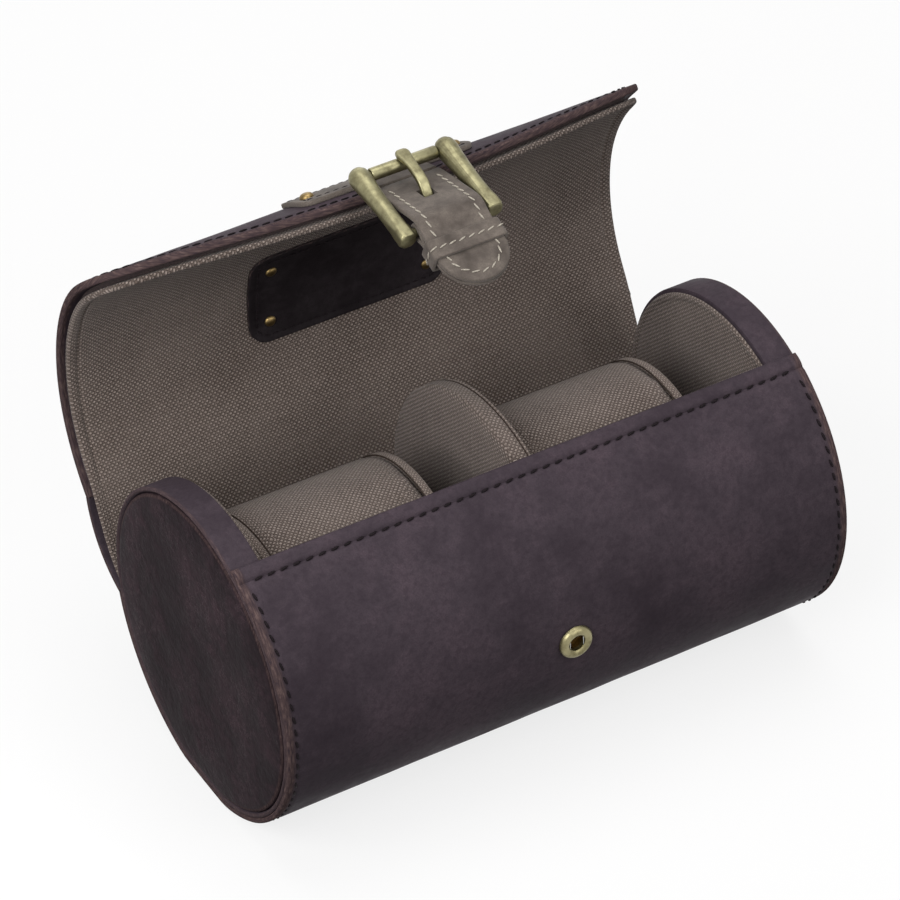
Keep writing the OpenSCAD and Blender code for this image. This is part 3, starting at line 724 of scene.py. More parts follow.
shellPiece = {"start": 114.5, "end": 344.5, "half": 77.7, "thick": 1.1, "socketHole": 4.6}
half = shellPiece["half"]
shellLine = drumPath(bandR, shellPiece["start"], shellPiece["end"])
shellL = shellLine["total"]
bm = bentSheet(plainRect(half, shellL), shellPiece["thick"], across(shellLine, 1.0), 0.3,
    slices(-half, half, 1.5, 4, 6), slices(0, shellL, 1.5, 4, 3.5), raw=False)
shellObj = finishMesh("shell_canvas", bm, canvas, "drum", "canvas", "shell_lining")
cutWith(shellObj, [roundCutter(socketSpot, socketOut, shellPiece["socketHole"])])
print("drum shell made", flush=True)


# Profile points, each a step along x and a step in radius from the spot (x, r)
def offsets(x, r, side, rows):
    return [(x + side * dx, r + dr) for dx, dr in rows]


# The profile of a thin dark cord, turned round the axis and laid in a seam: painted shade for the seam's
# shadowed gap
def shadeCordRing(x, r, thick):
    return [(x + q[0], r + q[1]) for q in (polar(thick, a) for a in range(0, 360, 60))]


# The ends: a puffed leather disc, a band round it with a groove between the two, and a canvas
# disc inside
endPiece = {"puff": 0.7, "puffIn": 9, "rings": (43.6, 42.8, 42, 41, 39, 36, 32, 27, 21, 15, 9, 4, 0),
    "rim": [(-1.35, -coreR), (-1.35, -0.3), (-1.05, -0.02), (-1.0, -0.02), (-0.4, -0.12), (-0.05, -0.42),
        (0.12, -0.85)],
    "band": [(-capT, -1.49), (-1.0, -1.49), (-0.45, -1.35), (-0.1, -1.05), (0.08, -0.75), (0, -0.3),
        (-0.3, -0.02), (-0.9, -0.02), (-4.5, -0.02), (0.7 - capT, -0.02), (0.2 - capT, -0.15),
        (-capT, -0.5)],
    "canvas": [(0.85, -bayR), (0.85, -0.3), (0.6, -0.02), (0.3, -0.02), (-0.15, -0.35), (-0.3, -0.9),
        (-0.2, -1.7), (0.12, -2.1), (0, -2.5), (-0.25, -5), (-0.4, -12), (-0.4, 15 - bayR),
        (-0.4, -bayR)]}
for side, word in ((-1, "left"), (1, "right")):
    profile = offsets(side * halfL, coreR, side, endPiece["rim"])
    for r in endPiece["rings"]:
        swell = endPiece["puff"] * min(1, (coreR - r) / endPiece["puffIn"]) ** 0.6
        profile.append((side * (halfL + swell), r))
    # The disc's rounded rim is paler: partly rubbed wear, partly a painted highlight along the edge
    bm = turnedPiece(profile, worn=lambda x, r: abs(r - coreR + 0.6) < 0.5 and x > halfL - 0.3)
    finishMesh("end_leather_" + word, bm, shadedEndPlum, "drum", "plum_leather", "end_panel_" + word)
    bm = turnedPiece(offsets(side * halfL, bandR, side, endPiece["band"]), closed=True,
        worn=lambda x, r: x > halfL - 0.4)
    finishMesh("end_band_leather_" + word, bm, plum, "drum", "plum_leather", "end_band_" + word)
    bm = turnedPiece(offsets(side * bayEnd, bayR, side, endPiece["canvas"]))
    finishMesh("end_canvas_disc_" + word, bm, canvas, "drum", "canvas", "end_canvas_" + word)
print("ends made", flush=True)

# The divider: a canvas cover turned over the rim, a side disc sewn in, and a dark cord in the seam as
# painted shade
dividerPiece = {"cover": [(-0.5, -bayR), (-0.5, 30 - bayR), (-0.4, 38 - bayR), (0, -2.2), (0.35, -0.8),
        (1.1, -0.05)],
    "turnedIn": [(-2.9, -0.02), (-1.5, -0.02), (-1.05, -0.2), (-0.95, -0.8)],
    "inside": [(0.95, -0.9), (0.95, -bayR)],
    "side": [(-0.85, -bayR), (-0.85, -0.5), (-0.6, -0.1), (-0.2, -0.02), (0.1, -0.3), (0.1, -1.2),
        (0.02, -2.4), (0.2, -6), (0.25, -bayR)]}
cover = offsets(leftWall, bayR, 1, dividerPiece["cover"])
cover += offsets(rightWall, bayR, 1, dividerPiece["turnedIn"])
cover += offsets(leftWall, bayR, 1, dividerPiece["inside"])
finishMesh("divider_canvas", turnedPiece(cover), canvas, "drum", "canvas", "divider_cover")
panel = offsets(rightWall, bayR, 1, dividerPiece["side"])
finishMesh("divider_side_canvas", turnedPiece(panel), canvas, "drum", "canvas", "divider_panel")
# Painted shade: a dark cord in the seam's gap
seam = shadeCordRing(rightWall - 0.97, bayR - 0.33, 0.3)
finishMesh("divider_seam_shade_cord", turnedPiece(seam, closed=True), seamShadeCord, "drum", "canvas")
print("divider made", flush=True)


# Cloth: a padded form is remeshed, blown up, put back inside its room and rolled out for its UV
def padded(obj, piece, room):
    remesh = obj.modifiers.new("remesh", "REMESH")
    remesh.mode = "VOXEL"
    remesh.voxel_size = piece["voxel"]
    applied(obj)
    cloth = obj.modifiers.new("cloth", "CLOTH")
    cloth.settings.use_pressure = True
    cloth.settings.uniform_pressure_force = piece["pressure"]
    cloth.settings.effector_weights.gravity = 0
    cloth.settings.tension_stiffness = 40
    cloth.settings.compression_stiffness = 40
    cloth.settings.bending_stiffness = 3
    frames, furthest = 20, 0.004
    cloth.point_cache.frame_start, cloth.point_cache.frame_end = 1, frames
    before = [v.co.copy() for v in obj.data.vertices]
    for step in range(1, frames + 1):
        bpy.context.scene.frame_set(step)
    applied(obj)
    for vert, old in zip(obj.data.vertices, before):
        move = vert.co - old
        if move.length > furthest:
            vert.co = old + move * (furthest / move.length)
    bpy.context.scene.frame_set(1)
    for vert in obj.data.vertices:
        vert.co = room(vert.co * 1000) / 1000
    soft = obj.modifiers.new("soft", "SUBSURF")
    soft.levels = soft.render_levels = 1
    applied(obj)
    bm = bmesh.new()
    bm.from_mesh(obj.data)
    uvLayer = bm.loops.layers.uv.get("UVMap") or bm.loops.layers.uv.new("UVMap")
    bm.normal_update()
    wrapUv(bm, uvLayer, 0.001)
    bm.to_mesh(obj.data)
    bm.free()
    for face in obj.data.polygons:
        face.use_smooth = True


# The pillows: each a puffed roll with a binding and a seam at both ends, a dark cord in each seam as
# painted shade
pillowPiece = {"voxel": 0.005, "pressure": 4, "fill": 0.85, "outer": 2.2, "underWelt": 0.3, "seam": 0.22,
    "half": [(0.5, -pillowR), (0.4, 15 - pillowR), (0.2, 24 - pillowR), (0.4, -4), (1.0, -1.2),
        (2.2, -0.2), (4, 0.3), (17, 0.5)],
    "welt": [(0.15, -weltT), (-0.02, -0.75), (0.35, -0.15), (1.1, -0.02), (weltW - 0.5, -0.05),
        (weltW - 0.12, -0.3), (weltW, -0.9), (weltW - 0.1, -weltT)]}


# The outer layer is drawn to the full radius, and passes under the binding
def pillowRoom(x0, x1):
    def room(p):
        y, z = p.y, p.z - axisZ
        r = hypot(y, z)
        most = pillowR - play
        if min(p.x - x0, x1 - p.x) < weltW:
            most -= pillowPiece["underWelt"]
        k = most / r if r > pillowR - pillowPiece["outer"] else 1.0
        x = min(max(p.x, x0 - play), x1 + play)
        return Vector((x, y * k, z * k + axisZ))
    return room


for word, end in (("left", leftPillow), ("right", rightPillow)):
    start, rider = end - pillowL, "pillow_" + word
    body = offsets(start, pillowR, 1, pillowPiece["half"])
    body += offsets(end, pillowR, -1, pillowPiece["half"])[::-1]
    obj = finishMesh("pillow_canvas_" + word, turnedPiece(body, segments=96, foot=False), canvas, rider,
        "pillow_canvas", rider)
    padded(obj, pillowPiece, pillowRoom(start, end))
    welts = [offsets(x, pillowR, 1, pillowPiece["welt"]) for x in (start, end - weltW)]
    bm = turnedPiece(*welts, foot=False, closed=True)
    finishMesh("pillow_welts_canvas_" + word, bm, paleCanvas, rider, "welt_canvas",
        "pillow_welts_" + word)
    # Painted shade: a dark cord in each seam's gap
    seams = [shadeCordRing(x, pillowR - 0.2, pillowPiece["seam"])
        for x in (start + weltW + 0.2, end - weltW - 0.2)]
    bm = turnedPiece(*seams, segments=96, foot=False, closed=True)
    finishMesh("pillow_seam_shade_cord_" + word, bm, seamShadeCord, rider, "pillow_canvas")
print("pillows made", flush=True)

# The cradles: foam under canvas, from just below the pillow down to the shell's canvas
cradlePiece = {"voxel": 0.005, "pressure": 3, "fill": 0.9, "start": 212.7, "end": 327.3, "thick": 11.0,
    "gap": 0.35, "leastGap": 0.32, "slackA": 0.5, "inset": 0.12}


def cradleRoom(x0, x1):
    a0, a1 = cradlePiece["start"] - cradlePiece["slackA"], cradlePiece["end"] + cradlePiece["slackA"]

    def room(p):
        y, z = p.y, p.z - axisZ
        r, a = hypot(y, z), degrees(atan2(z, y)) % 360
        most = (bayR - play) * footScale(a, bayR)
        r = min(max(r, pillowR + cradlePiece["leastGap"]), most)
        return Vector((min(max(p.x, x0), x1), *onDrum(polar(r, min(max(a, a0), a1)))))
    return room


seatR = pillowR + cradlePiece["gap"]
seatL = arcLine(seatR, cradlePiece["start"], cradlePiece["end"], onDrum, 160)["total"]


def nest(u, s, out):
    a = cradlePiece["start"] + (cradlePiece["end"] - cradlePiece["start"]) * s / seatL
    t = -out / cradlePiece["thick"]
    floorR = (bayR - 0.1) * footScale(a, bayR)
    return Vector((u, *onDrum(polar(seatR * (1 - t) + floorR * t, a))))


inset = cradlePiece["inset"]
bays = (("left", inset - bayEnd, leftWall - inset), ("right", rightWall + inset, bayEnd - inset))
for word, x0, x1 in bays:
    bm = bentSheet(roundedRect(x0, x1, 0, seatL, 1.5, 3), cradlePiece["thick"], nest, 1.6,
        slices(x0, x1, 2, 4, 6), slices(0, seatL, 2, 4, 4), raw=False)
    obj = finishMesh("cradle_canvas_" + word, bm, canvas, "drum", "padded_canvas", "cradle_" + word)
    padded(obj, cradlePiece, cradleRoom(x0, x1))
print("cradles made", flush=True)

# The lid: leather over board, lined with canvas whose rim is rolled. Laid flat, it ends in a
# bow between two round corners, and "inset" draws the same outline further in
lidReach = lidR * sin(radians(edgeA - aimA))


def lidShape(inset):
    half, corner = halfL - inset, cornerR - inset / 2
    bowR = (half * half + edgeBow * edgeBow) / (2 * edgeBow)
    midY, cx = lidReach - inset - bowR, half - corner
    return half, corner, bowR, midY, cx, midY + sqrt((bowR - corner) ** 2 - cx * cx)


def lidFlat(inset, n=14, bowSteps=48):
    half, corner, bowR, midY, cx, cy = lidShape(inset)
    turn = degrees(atan2(cy - midY, cx))
    right = [(cx + q[0], cy + q[1]) for q in (polar(corner, turn * k / n) for k in range(n + 1))]
    bow = [polar(bowR, turn + (180 - 2 * turn) * k / bowSteps) for k in range(1, bowSteps)]
    return right + [(q[0], midY + q[1]) for q in bow] + [(-x, y) for x, y in reversed(right)]


# Length along a lid layer of radius r, from its hinge edge
def lidLength(r, y):
    return r * (radians(aimA - lidStart) + asin(y / r))


def lidRun(r, inset, start=6.0):
    points = [(x, lidLength(r, y)) for x, y in lidFlat(inset)]
    up = [(halfL - inset, s) for s in steps(start, points[0][1], 12)[:-1]]
    return up + points + [(-x, s) for x, s in reversed(up)]


def edgeDistance(u, s, r, inset=0.0):
    flatY = r * sin(s / r - radians(aimA - lidStart)) if s / r > 0.3 else -50
    half, corner, bowR, midY, cx, cy = lidShape(inset)
    au = abs(u)
    if au > cx and flatY > cy and atan2(flatY - cy, au - cx) < atan2(cy - midY, cx):
        return corner - hypot(au - cx, flatY - cy)
    return min(half - au, bowR - hypot(au, flatY - midY))


lidPiece = {"stitchIn": 2.9, "bevel": 0.5, "roll": 3.2, "rollThick": 0.3, "liningIn": 1.1,
    "liningBevel": 0.45}
skinPlace = across(arcLine(lidR, lidStart, lidEnd, onLid, 200), 1.0)


def skinRelief(u, s):
    d = edgeDistance(u, s, lidR)
    return groove(d, lidPiece["stitchIn"], 0.6, 0.3) + ripple(u, s, 24, 0.16) + ripple(u, s, 8, 0.05)


outline = [(halfL, 0)] + [(x, lidLength(lidR, y)) for x, y in lidFlat(0)] + [(-halfL, 0)]
bm = bentSheet(outline, lidT, skinPlace, lidPiece["bevel"], slices(-halfL, halfL, 0.6, 5, 3.2),
    slices(0, lidLength(lidR, lidReach), 0.8, 8, 3.0), skinRelief,
    burnish=lambda u, s: 0.8 * ramp((2.0 - edgeDistance(u, s, lidR)) / 0.7))
finishMesh("lid_skin", bm, plum, "lid", "plum_leather", "lid_leather")

# The hinge bends on an arc between the drum's back edge and the lid's
hingePiece = {"thick": 1.6, "bulge": 3.5, "low": (44.92, 34.77), "high": (61.77, 55.06), "stitchIn": 2.7}
low, high = hingePiece["low"], hingePiece["high"]
span = (high[0] - low[0], high[1] - low[1])
chord = hypot(*span)
hingeR = (chord ** 2 / 4 + hingePiece["bulge"] ** 2) / (2 * hingePiece["bulge"])
turnHalf = degrees(asin(chord / 2 / hingeR))
lean = degrees(atan2(span[1], span[0]))
centreOut = polar(hingePiece["bulge"] - hingeR, lean - 90)
hingeC = ((low[0] + high[0]) / 2 + centreOut[0], (low[1] + high[1]) / 2 + centreOut[1])


def onHinge(q):
    return (hingeC[0] + q[0], hingeC[1] + q[1])


# One canvas lines the lid and runs down over the hinge into the drum, the join drawn as a
# smooth curve from the hinge's arc into the lid's
joinA, joinSteps, joinPull = lidStart + 9.0, 30, 34
first = onHinge(polar(hingeR - 0.85, lean - 90 - turnHalf))
firstWay = polar(30, lean - turnHalf)
up = arcLine(liningR, joinA, lidEnd, onLid, 180)["points"]
upWay = (up[1][0] - up[0][0], up[1][1] - up[0][1])
scale = joinPull / hypot(*upWay)
down = []
for k in range(joinSteps):
    t = k / joinSteps
    h0, h1 = 2 * t ** 3 - 3 * t ** 2 + 1, t ** 3 - 2 * t ** 2 + t
    h2, h3 = -2 * t ** 3 + 3 * t ** 2, t ** 3 - t ** 2
    down.append(tuple(h0 * first[i] + h1 * firstWay[i] + h2 * up[0][i] + h3 * upWay[i] * scale
        for i in (0, 1)))
canvasPath = makeLine(down + up)
canvasAt = across(canvasPath, 1.2)
joinS = canvasPath["lengths"][joinSteps]
liningW = halfL - lidPiece["liningIn"]


# Over the hinge the canvas is thinner than on the lid
def canvasPlace(u, s, out):
    return canvasAt(u, s, -out * min(1.0, max(0.45, 0.45 + (s - joinS + 6) / 8)))


def canvasLength(y):
    return joinS + liningR * (radians(aimA - joinA) + asin(y / liningR))


def canvasRelief(u, s):
    lidS = s - joinS + liningR * radians(joinA - lidStart)
    d = min(edgeDistance(u, lidS, liningR, lidPiece["liningIn"]), liningW - abs(u))
    lift = lidPiece["rollThick"] * max(0.0, 1 - ((d - 1.4) / 1.6) ** 2)
    lift += groove(d, lidPiece["roll"], 0.5, 0.45)
    return lift + 0.15 * ramp((d - 3.4) / 12) + ripple(u, s, 18, 0.1)


outline = [(x, canvasLength(y)) for x, y in lidFlat(lidPiece["liningIn"])]
bm = bentSheet([(liningW, 0.3)] + outline + [(-liningW, 0.3)], liningT, canvasPlace,
    lidPiece["liningBevel"], slices(-liningW, liningW, 0.6, 5, 3.4),
    slices(0.3, canvasLength(lidReach - lidPiece["liningIn"]), 0.8, 8, 2.6), canvasRelief, raw=False)
lidCanvas = finishMesh("lid_canvas", bm, canvas, None, "canvas", "lid_lining", "hinge_canvas")
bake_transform(lidCanvas)
print("lid made", flush=True)


# Domed caps that stand on a sheet, each with its foot a little above or below the face
def rivetCaps(name, place, spots, foot, profile, segments, replaced):
    bm = bmesh.new()
    for u, s in spots:
        up = (place(u, s, 1) - place(u, s, 0)).normalized()
        standing(bm, profile, place(u, s, foot), up, segments)
    finishMesh(name, bm, darkBrass, "lid", "antique_brass", replaced)


labelPiece = {"wide": 62, "high": 31, "corner": 6, "thick": 1.2, "angle": 70, "puff": 0.35,
    "stitchIn": 2.2, "rivetX": 24.7, "rivetA": 10.6,
    "rivet": [(1.7, -0.3), (1.7, 0.1), (1.5, 0.45), (1.1, 0.72), (0.6, 0.88), (0, 0.93)]}
labelR = liningR - play - labelPiece["thick"]
labelPlace = across(arcLine(labelR, lidStart, lidEnd, onLid, 200), 1.0, flip=-1,
    start=labelR * radians(labelPiece["angle"] - lidStart))
labelW, labelH = labelPiece["wide"] / 2, labelPiece["high"] / 2


def labelRelief(u, s):
    d = min(labelW - abs(u), labelH - abs(s))
    return groove(d, labelPiece["stitchIn"], 0.5, 0.22) + labelPiece["puff"] * ramp((d - 2.2) / 5) - 0.1


bm = bentSheet(roundedRect(-labelW, labelW, -labelH, labelH, labelPiece["corner"], 10),
    labelPiece["thick"], labelPlace, 0.4, slices(-labelW, labelW, 0.6, 5, 2.2),
    slices(-labelH, labelH, 0.6, 5, 1.6), labelRelief)
finishMesh("label_leather", bm, labelLeather, "lid", "label_leather", "label_patch")
rivetU, rivetS = labelPiece["rivetX"], radians(labelPiece["rivetA"]) * labelR
spots = [(u, s) for u in (-rivetU, rivetU) for s in (-rivetS, rivetS)]
rivetCaps("label_rivet_caps", labelPlace, spots, 0.12, labelPiece["rivet"], 24, "label_rivets")

# The yoke that carries the strap, riveted on the lid's outer face: a plate with a neck
yokePiece = {"wide": 53, "high": 18.1, "corner": 4, "neck": 10.0, "neckA": 137.42, "lineA": 100,
    "mid": 120.5, "bevel": 0.4, "stitchIn": 2.2, "rivetX": 22.5, "rivetA": 123.67,
    "rivet": [(2.0, -0.2), (2.0, 0.25), (1.85, 0.7), (1.4, 1.12), (0.75, 1.36), (0, 1.42)]}
yokeOut = yokeR + strapT
yokeMid = yokeOut * radians(yokePiece["mid"] - yokePiece["lineA"])
yokePlace = across(arcLine(yokeOut, yokePiece["lineA"], lidEnd, onLid, 120), 1.0, start=yokeMid)
yokeTop = yokeOut * radians(yokePiece["neckA"] - yokePiece["lineA"]) - yokeMid
yokeW, yokeH, neckW = yokePiece["wide"] / 2, yokePiece["high"] / 2, yokePiece["neck"]
neck = [(neckW + 0.8, yokeH), (neckW + 0.2, yokeH + 0.25), (neckW, yokeH + 0.9), (neckW, yokeTop)]
plate = roundedRect(-yokeW, yokeW, -yokeH, yokeH, yokePiece["corner"], 6)
bm = bentSheet(plate[:14] + neck + [(-u, s) for u, s in reversed(neck)] + plate[14:], strapT, yokePlace,
    yokePiece["bevel"], slices(-yokeW, yokeW, 0.6, 4, 2), slices(-yokeH, yokeTop, 0.6, 4, 1.4),
    lambda u, s: groove(min(yokeW - abs(u), s + yokeH), yokePiece["stitchIn"], 0.5, 0.25))
finishMesh("yoke_nubuck", bm, nubuck, "lid", "nubuck", "strap_yoke")
rivetU, rivetS = yokePiece["rivetX"], yokeOut * radians(yokePiece["rivetA"] - yokePiece["mid"])
rivetCaps("yoke_rivet_caps", yokePlace, [(-rivetU, rivetS), (rivetU, rivetS)], -play,
    yokePiece["rivet"], 28, "yoke_rivets")
print("yoke made", flush=True)

# The strap: tongue through the buckle, billet folded round the base bar, keeper
strapPiece = {"bevel": 0.35, "slotWide": prongW + 1.0, "slotLong": 4.76, "slotLean": -20, "stitchIn": 2.7,
    "billetBevel": 0.3, "studHole": 1.25}
flexLocal = turned((flex[0] - roller[0], flex[1] - roller[1]), (0, 0), 180 - buckleA)
slotAt = (-0.54 * buckleL, -strapT / 8)
tonguePoints = [flexLocal, (flexLocal[0] - 1.7 * strapT, flexLocal[1] + strapT), slotAt,
    (baseBarD - buckleL, overBarZ - 0.2), (-buckleL, overBarZ + 0.15),
    tailInBuckle((-baseBarD / 2, overBarZ - 0.2)), tailInBuckle((-2 * baseBarD, lapZ)),
    tailInBuckle((-tipReach, lapZ))]
tongueLine = makeLine([onBuckle(p) for p in smoothLine(tonguePoints, 2)])
tonguePlace = across(tongueLine, 0.8, shift=strapT / 2)
tongueL, tipR = tongueLine["total"], strapW / 2


# Half a circle of radius r round (0, s)
def tipArc(r, a0, s, n):
    return [(q[0], s + q[1]) for q in (polar(r, a0 + 180 * k / n) for k in range(n + 1))]


def tongueRelief(u, s):
    tip = tipR - hypot(u, s - tongueL + tipR) if s > tongueL - tipR else 99
    return groove(min(tipR - abs(u), tip), strapPiece["stitchIn"], 0.5, 0.16)


bm = bentSheet([(-tipR, 0), (tipR, 0)] + tipArc(tipR, 0, tongueL - tipR, 24), strapT, tonguePlace,
    strapPiece["bevel"], slices(-tipR, tipR, 0.8, 4, 1.6), slices(0, tongueL, 0.7, 4, 1.0), tongueRelief)
tongue = finishMesh("tongue_nubuck", bm, nubuck, "strap", "nubuck", "strap_tongue")
slotW, slotL = strapPiece["slotWide"] / 2, strapPiece["slotLong"] / 2
slotLow, slotHigh = (-slotW, slotAt[0] - slotL, slotAt[1] - 3), (slotW, slotAt[0] + slotL, slotAt[1] + 3)
cutWith(tongue, [boxCutter(slotLow, slotHigh, onBuckle, strapPiece["slotLean"])])

half = billetT / 2
fold = [(-tipReach, half), (-5.4, half), (-3.6, half + 0.15), (-2.2, half + 0.75)]
fold += [polar(billetR - half, 115 - 230 * k / 16) for k in range(17)]
fold += [(-2.2, -half - 0.75), (-3.6, -half - 0.15), (-5.4, -half), (-9.88, -half)]
billetLine = makeLine([onTail(p) for p in fold], 1)
billetL = billetLine["total"]
bm = bentSheet([(tipR, billetL), (-tipR, billetL)] + tipArc(tipR, 180, tipR, 24), billetT - 0.1,
    across(billetLine, 0.5, flip=-1, shift=half), strapPiece["billetBevel"],
    slices(-tipR, tipR, 0.8, 3, 1.8), slices(0, billetL, 0.7, 4, 1.0))
billet = finishMesh("billet_nubuck", bm, nubuck, "strap", "nubuck", "strap_billet")
studSpot = Vector((0, *onTail((-studAway, 0))))
studOut = Vector((0, *onTail((-studAway, 1)))) - studSpot
cutWith(billet, [boxCutter((-2, -3.2, -5), (2, 4.8, 5), onTail),
    roundCutter(studSpot, studOut, strapPiece["studHole"])])

# The keeper is a loop round both layers, open under the strap
keeperPiece = {"wide": 5.8, "thick": 1.1, "away": 3.5, "bevel": 0.25, "round": 1.0, "cut": 0.3}
keeperW, keeperT, rounding, snip = (keeperPiece[key] for key in ("wide", "thick", "round", "cut"))
half = strapW / 2 + play + keeperT
tab = half - strapW * 0.17 + play - keeperT
k0, k1 = -billetT - play - keeperT, lapZ + strapT / 2 + play + keeperT
loop = [(-tab, k0), (rounding - half, k0), (snip - half, k0 + snip), (-half, k0 + rounding),
    (-half, k1 - rounding), (snip - half, k1 - snip), (rounding - half, k1)]
loopLine = makeLine(loop + [(-x, z) for x, z in reversed(loop)], 1)
loopL = loopLine["total"]


def keeperPlace(u, s, out):
    p, n = lineFrame(loopLine, s, 0.25)
    q = onTail((keeperPiece["away"] - studAway + u, p[1] + n[1] * out))
    return Vector((p[0] + n[0] * out, *q))


bm = bentSheet(roundedRect(0, keeperW, 0, loopL, 0.4, 3), keeperT, keeperPlace, keeperPiece["bevel"],
    slices(0, keeperW, 0.5, 1, 0.8), slices(0, loopL, 0.5, 2, 0.6),
    lambda u, s: groove(u, keeperW / 2, 0.5, 0.15))
finishMesh("keeper_nubuck", bm, nubuck, "strap", "nubuck", "keeper")
print("strap made", flush=True)

# Snap: the stud on the strap and the socket ring on the drum
studPiece = {"segments": 40, "profile": [
    (0, -2.14), (1.25, -2.14), (1.6, -1.8), (1.62, -1.5), (1.45, -1.15), (1.5, -0.58), (3.6, -0.56),
    (4.0, -0.42), (4.0, -0.22), (3.7, -0.07), (1.2, -0.05), (1.2, 0.9), (0.9, 1.0), (0, 1.0)]}
bm = standing(bmesh.new(), studPiece["profile"], studSpot, studOut.normalized(), studPiece["segments"])
finishMesh("snap_stud_metal", bm, darkBrass, "strap", "antique_brass", "snap_stud")
socketPiece = {"segments": 48, "profile": [
    (2.4, 0.0), (4.7, 0.0), (4.98, 0.3), (4.9, 0.9), (4.55, 1.45), (4.05, 1.8), (3.5, 1.92), (3.0, 1.8),
    (2.55, 1.5), (2.4, 1.32), (3.0, 1.3), (3.0, 0.7), (2.4, 0.68), (2.4, 0.0)]}
bm = standing(bmesh.new(), socketPiece["profile"], socketSpot + socketOut * play, socketOut,
    socketPiece["segments"])
finishMesh("snap_socket_metal", bm, socketBrass, "drum", "antique_brass", "snap_socket")
print("snap made", flush=True)


# Buckle: a cast frame with a roller sleeve and a bent wire prong. A part of it is turned along
# a bar and then moved from the buckle's own place
def barMesh(profile, foot, direction, segments, shape=None):
    bm = standing(bmesh.new(), profile, Vector(foot), Vector(direction), segments)
    for vert in bm.verts:
        if shape:
            vert.co = shape(*vert.co)
        q = onBuckle((vert.co.y, vert.co.z))
        vert.co = Vector((vert.co.x, q[0], q[1]))
    return bm


def rod(r, length):
    return [(0, 0), (r, 0), (r, length), (0, length)]


bucklePiece = {"middle": 0.35, "sideFlat": 3.1, "sideTaper": 0.85, "rollerRoom": 5.6, "elbow": 4,
    "side": [(0, -3.1), (1.2, -2.95), (2.2, -2.2), (2.85, -1.2), (3.1, 0), (3.1, 1.2),
    (3.0, 2.6), (2.85, 4.2), (2.72, 6), (2.55, 9), (2.42, 13), (2.4, 17), (2.55, 20.5),
    (2.7, 21.8), (2.78, 24.7), (2.4, 25.4), (1.9, 25.6), (0, 25.6)]}
sideX, rollerL = buckleW / 2, buckleW - bucklePiece["rollerRoom"]


# Side bars are flattened towards the base bar, and their elbows stay clear of the roller
def sideBar(side):
    middle = side * (sideX + bucklePiece["middle"])

    def shape(x, y, z):
        flat = bucklePiece["sideFlat"] - bucklePiece["sideTaper"] * ramp((-y - 14) / 6)
        x = middle + max(-flat, min(flat, x - middle))
        if y > -bucklePiece["elbow"]:
            x = side * max(rollerL / 2 + 0.12, abs(x))
        return Vector((x, y, max(-flat, min(flat, z))))
    return barMesh(bucklePiece["side"], (middle, 0, 0), (0, -1, 0), 28, shape)


frameObj = finishMesh("buckle_metal", sideBar(-1), brass, "buckle", "antique_brass", "buckle_frame")
bars = [barMesh(rod(d / 2, buckleW), (-sideX, y, 0), (1, 0, 0), 24)
    for y, d in ((0, frontBarD), (-buckleL, baseBarD))]
cutWith(frameObj, [cutter(bm) for bm in [sideBar(1)] + bars], "UNION")

sleeve = [(1.15, 0.15), (1.3, 0), (1.65, 0.0), (1.8, 0.2), (1.8, rollerL - 0.2), (1.65, rollerL),
    (1.3, rollerL), (1.15, rollerL - 0.15), (1.15, 0.15)]
bm = barMesh(sleeve, (-rollerL / 2, 0, 0), (1, 0, 0), 40)
finishMesh("roller_metal", bm, brass, "roller", "antique_brass", "buckle_roller")

# The prong's tip lies on the roller, and its loop turns on the base bar
prongPiece = {"bevel": 0.55, "smooth": 3, "loopThick": 0.9, "loopRound": 0.3,
    "half": [(0, 0), (1.1, 0.12), (1.75, 0.7), (2.0, 1.8), (1.85, 3), (1.55, 5), (1.5, 6.5)]}
prongZ = rollerD / 2 + 0.3 + prongT / 2
prongPoints = [(0.64 * rollerD, prongZ - 0.3 * prongT), (0.1 * rollerD, prongZ),
    (slotAt[0] + 1.9 * prongT, prongZ), slotAt,
    (slotAt[0] - 1.5 * prongT, slotAt[1] - 1.6 * prongT), (0.75 * baseBarD - buckleL, -baseBarD / 4)]
prongLine = makeLine([onBuckle(p) for p in smoothLine(prongPoints, prongPiece["smooth"])], 1)
prongL = prongLine["total"]
near = prongPiece["half"]
outline = near[::-1] + [(-u, s) for u, s in near[1:]] + [(-1.5, prongL), (1.5, prongL)]
bm = bentSheet(outline, prongT, across(prongLine, 0.5, flip=-1, shift=prongT / 2), prongPiece["bevel"],
    [-1, 0, 1], slices(0, prongL, 0.5, 3, 0.6), raw=False, segments=4)
prongObj = finishMesh("prong_metal", bm, brass, "prong", "antique_brass", "buckle_prong")
boreR, rounding = baseBarD / 2 + play, prongPiece["loopRound"]
loopR = boreR + prongPiece["loopThick"]
eye = [(0, 0), (loopR - rounding, 0), (loopR, rounding), (loopR, prongW - rounding),
    (loopR - rounding, prongW), (0, prongW)]
cutWith(prongObj, [cutter(barMesh(eye, (-prongW / 2, -buckleL, 0), (1, 0, 0), 32))], "UNION")
cutWith(prongObj, [cutter(barMesh(rod(boreR, 8), (-4, -buckleL, 0), (1, 0, 0), 32))])
print("buckle made", flush=True)

# The hinge: a leather strip over the canvas, bending between the drum and the lid
strip = arcLine(hingeR + hingePiece["thick"], lean - 90 - turnHalf, lean - 90 + turnHalf, onHinge, 40)
stripL = strip["total"]
bm = bentSheet(plainRect(halfL, stripL), hingePiece["thick"],
    across(strip, 0.8), 0.3, slices(-halfL, halfL, 0.8, 4, 4), slices(0, stripL, 0.8, 3, 1.4),
    lambda u, s: groove(halfL - abs(u), hingePiece["stitchIn"], 0.55, 0.25) + ripple(u, s, 15, 0.15))
hingeObj = finishMesh("hinge_skin", bm, plum, None, "plum_leather", "hinge_leather")
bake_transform(hingeObj)
print("hinge made", flush=True)

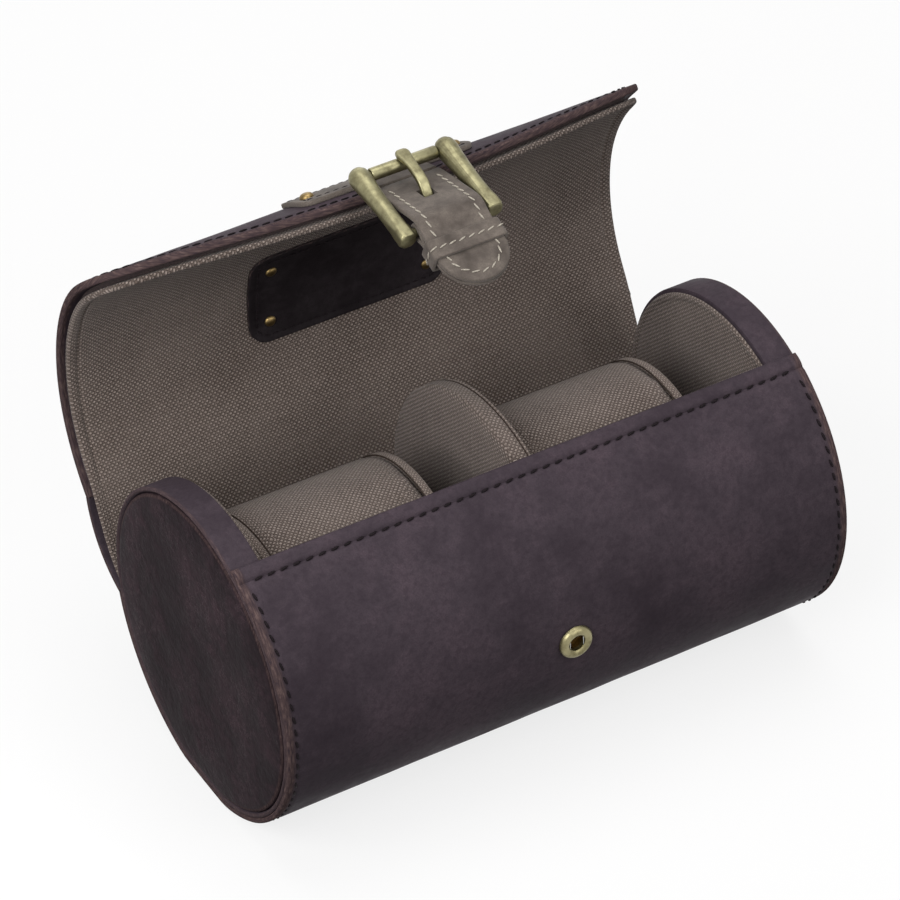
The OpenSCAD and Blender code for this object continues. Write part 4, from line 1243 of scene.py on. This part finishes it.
# Stitching: pitch, length and thickness of each thread, how far it stands out, and its slant
seamThread = {"pitch": 3.8, "length": 2.5, "radius": 0.38, "lift": -0.06, "lean": 0.2}
rimThread = {"pitch": 3.2, "length": 2.5, "radius": 0.34, "lift": -0.02, "lean": 0.16}
fineThread = {"pitch": 2.6, "length": 1.9, "radius": 0.26, "lift": -0.04}
strapThread = {"pitch": 2.8, "length": 2.45, "radius": 0.27, "lift": 0.05, "lean": 0.28}


def lengthwise(s, margin=4):
    return [(u, s) for u in steps(margin - halfL, halfL - margin, 60)]


runs = [(wrapPlace, lengthwise(wrapPiece["rollSeam"]))]
for side in (-1, 1):
    u = side * (halfL - wrapPiece["stitchIn"])
    runs.append((wrapPlace, [(u, s) for s in steps(7, wrapL - 2, 90)]))
runs.append((wrapPlace, lengthwise(wrapL - 3)))
stitches("wrap_stitches", runs, seamThread, darkThread, "drum", "plum_leather")
runs = [(skinPlace, lidRun(lidR, lidPiece["stitchIn"])), (skinPlace, lengthwise(3))]
stitches("lid_stitches", runs, rimThread, darkThread, "lid", "plum_leather")
u, s = labelW - labelPiece["stitchIn"], labelH - labelPiece["stitchIn"]
labelRun = roundedRect(-u, u, -s, s, 4, 6)
stitches("label_stitches", [(labelPlace, labelRun + labelRun[:1])], fineThread, darkThread, "lid",
    "label_leather")
u, s = yokeW - yokePiece["stitchIn"], yokeH - yokePiece["stitchIn"]
yokeRun = [(neckW + 1.5, s), (u, s), (u, -s), (-u, -s), (-u, s), (-neckW - 1.5, s)]
stitches("yoke_stitches", [(yokePlace, yokeRun)], fineThread, darkThread, "lid", "nubuck")
u = tipR - strapPiece["stitchIn"]
sideRun = [(u, s) for s in steps(4, tongueL - tipR, 40)]
tongueRun = sideRun + tipArc(u, 0, tongueL - tipR, 20) + [(-u, s) for u, s in reversed(sideRun)]
stitches("strap_stitches", [(tonguePlace, tongueRun)], strapThread, paleThread, "strap", "nubuck")
keeperRun = [(keeperW / 2, s) for s in steps(3.5, loopL - 3.5, 60)]
stitches("keeper_stitches", [(keeperPlace, keeperRun)], strapThread, paleThread, "strap", "nubuck")
print("stitching made", flush=True)
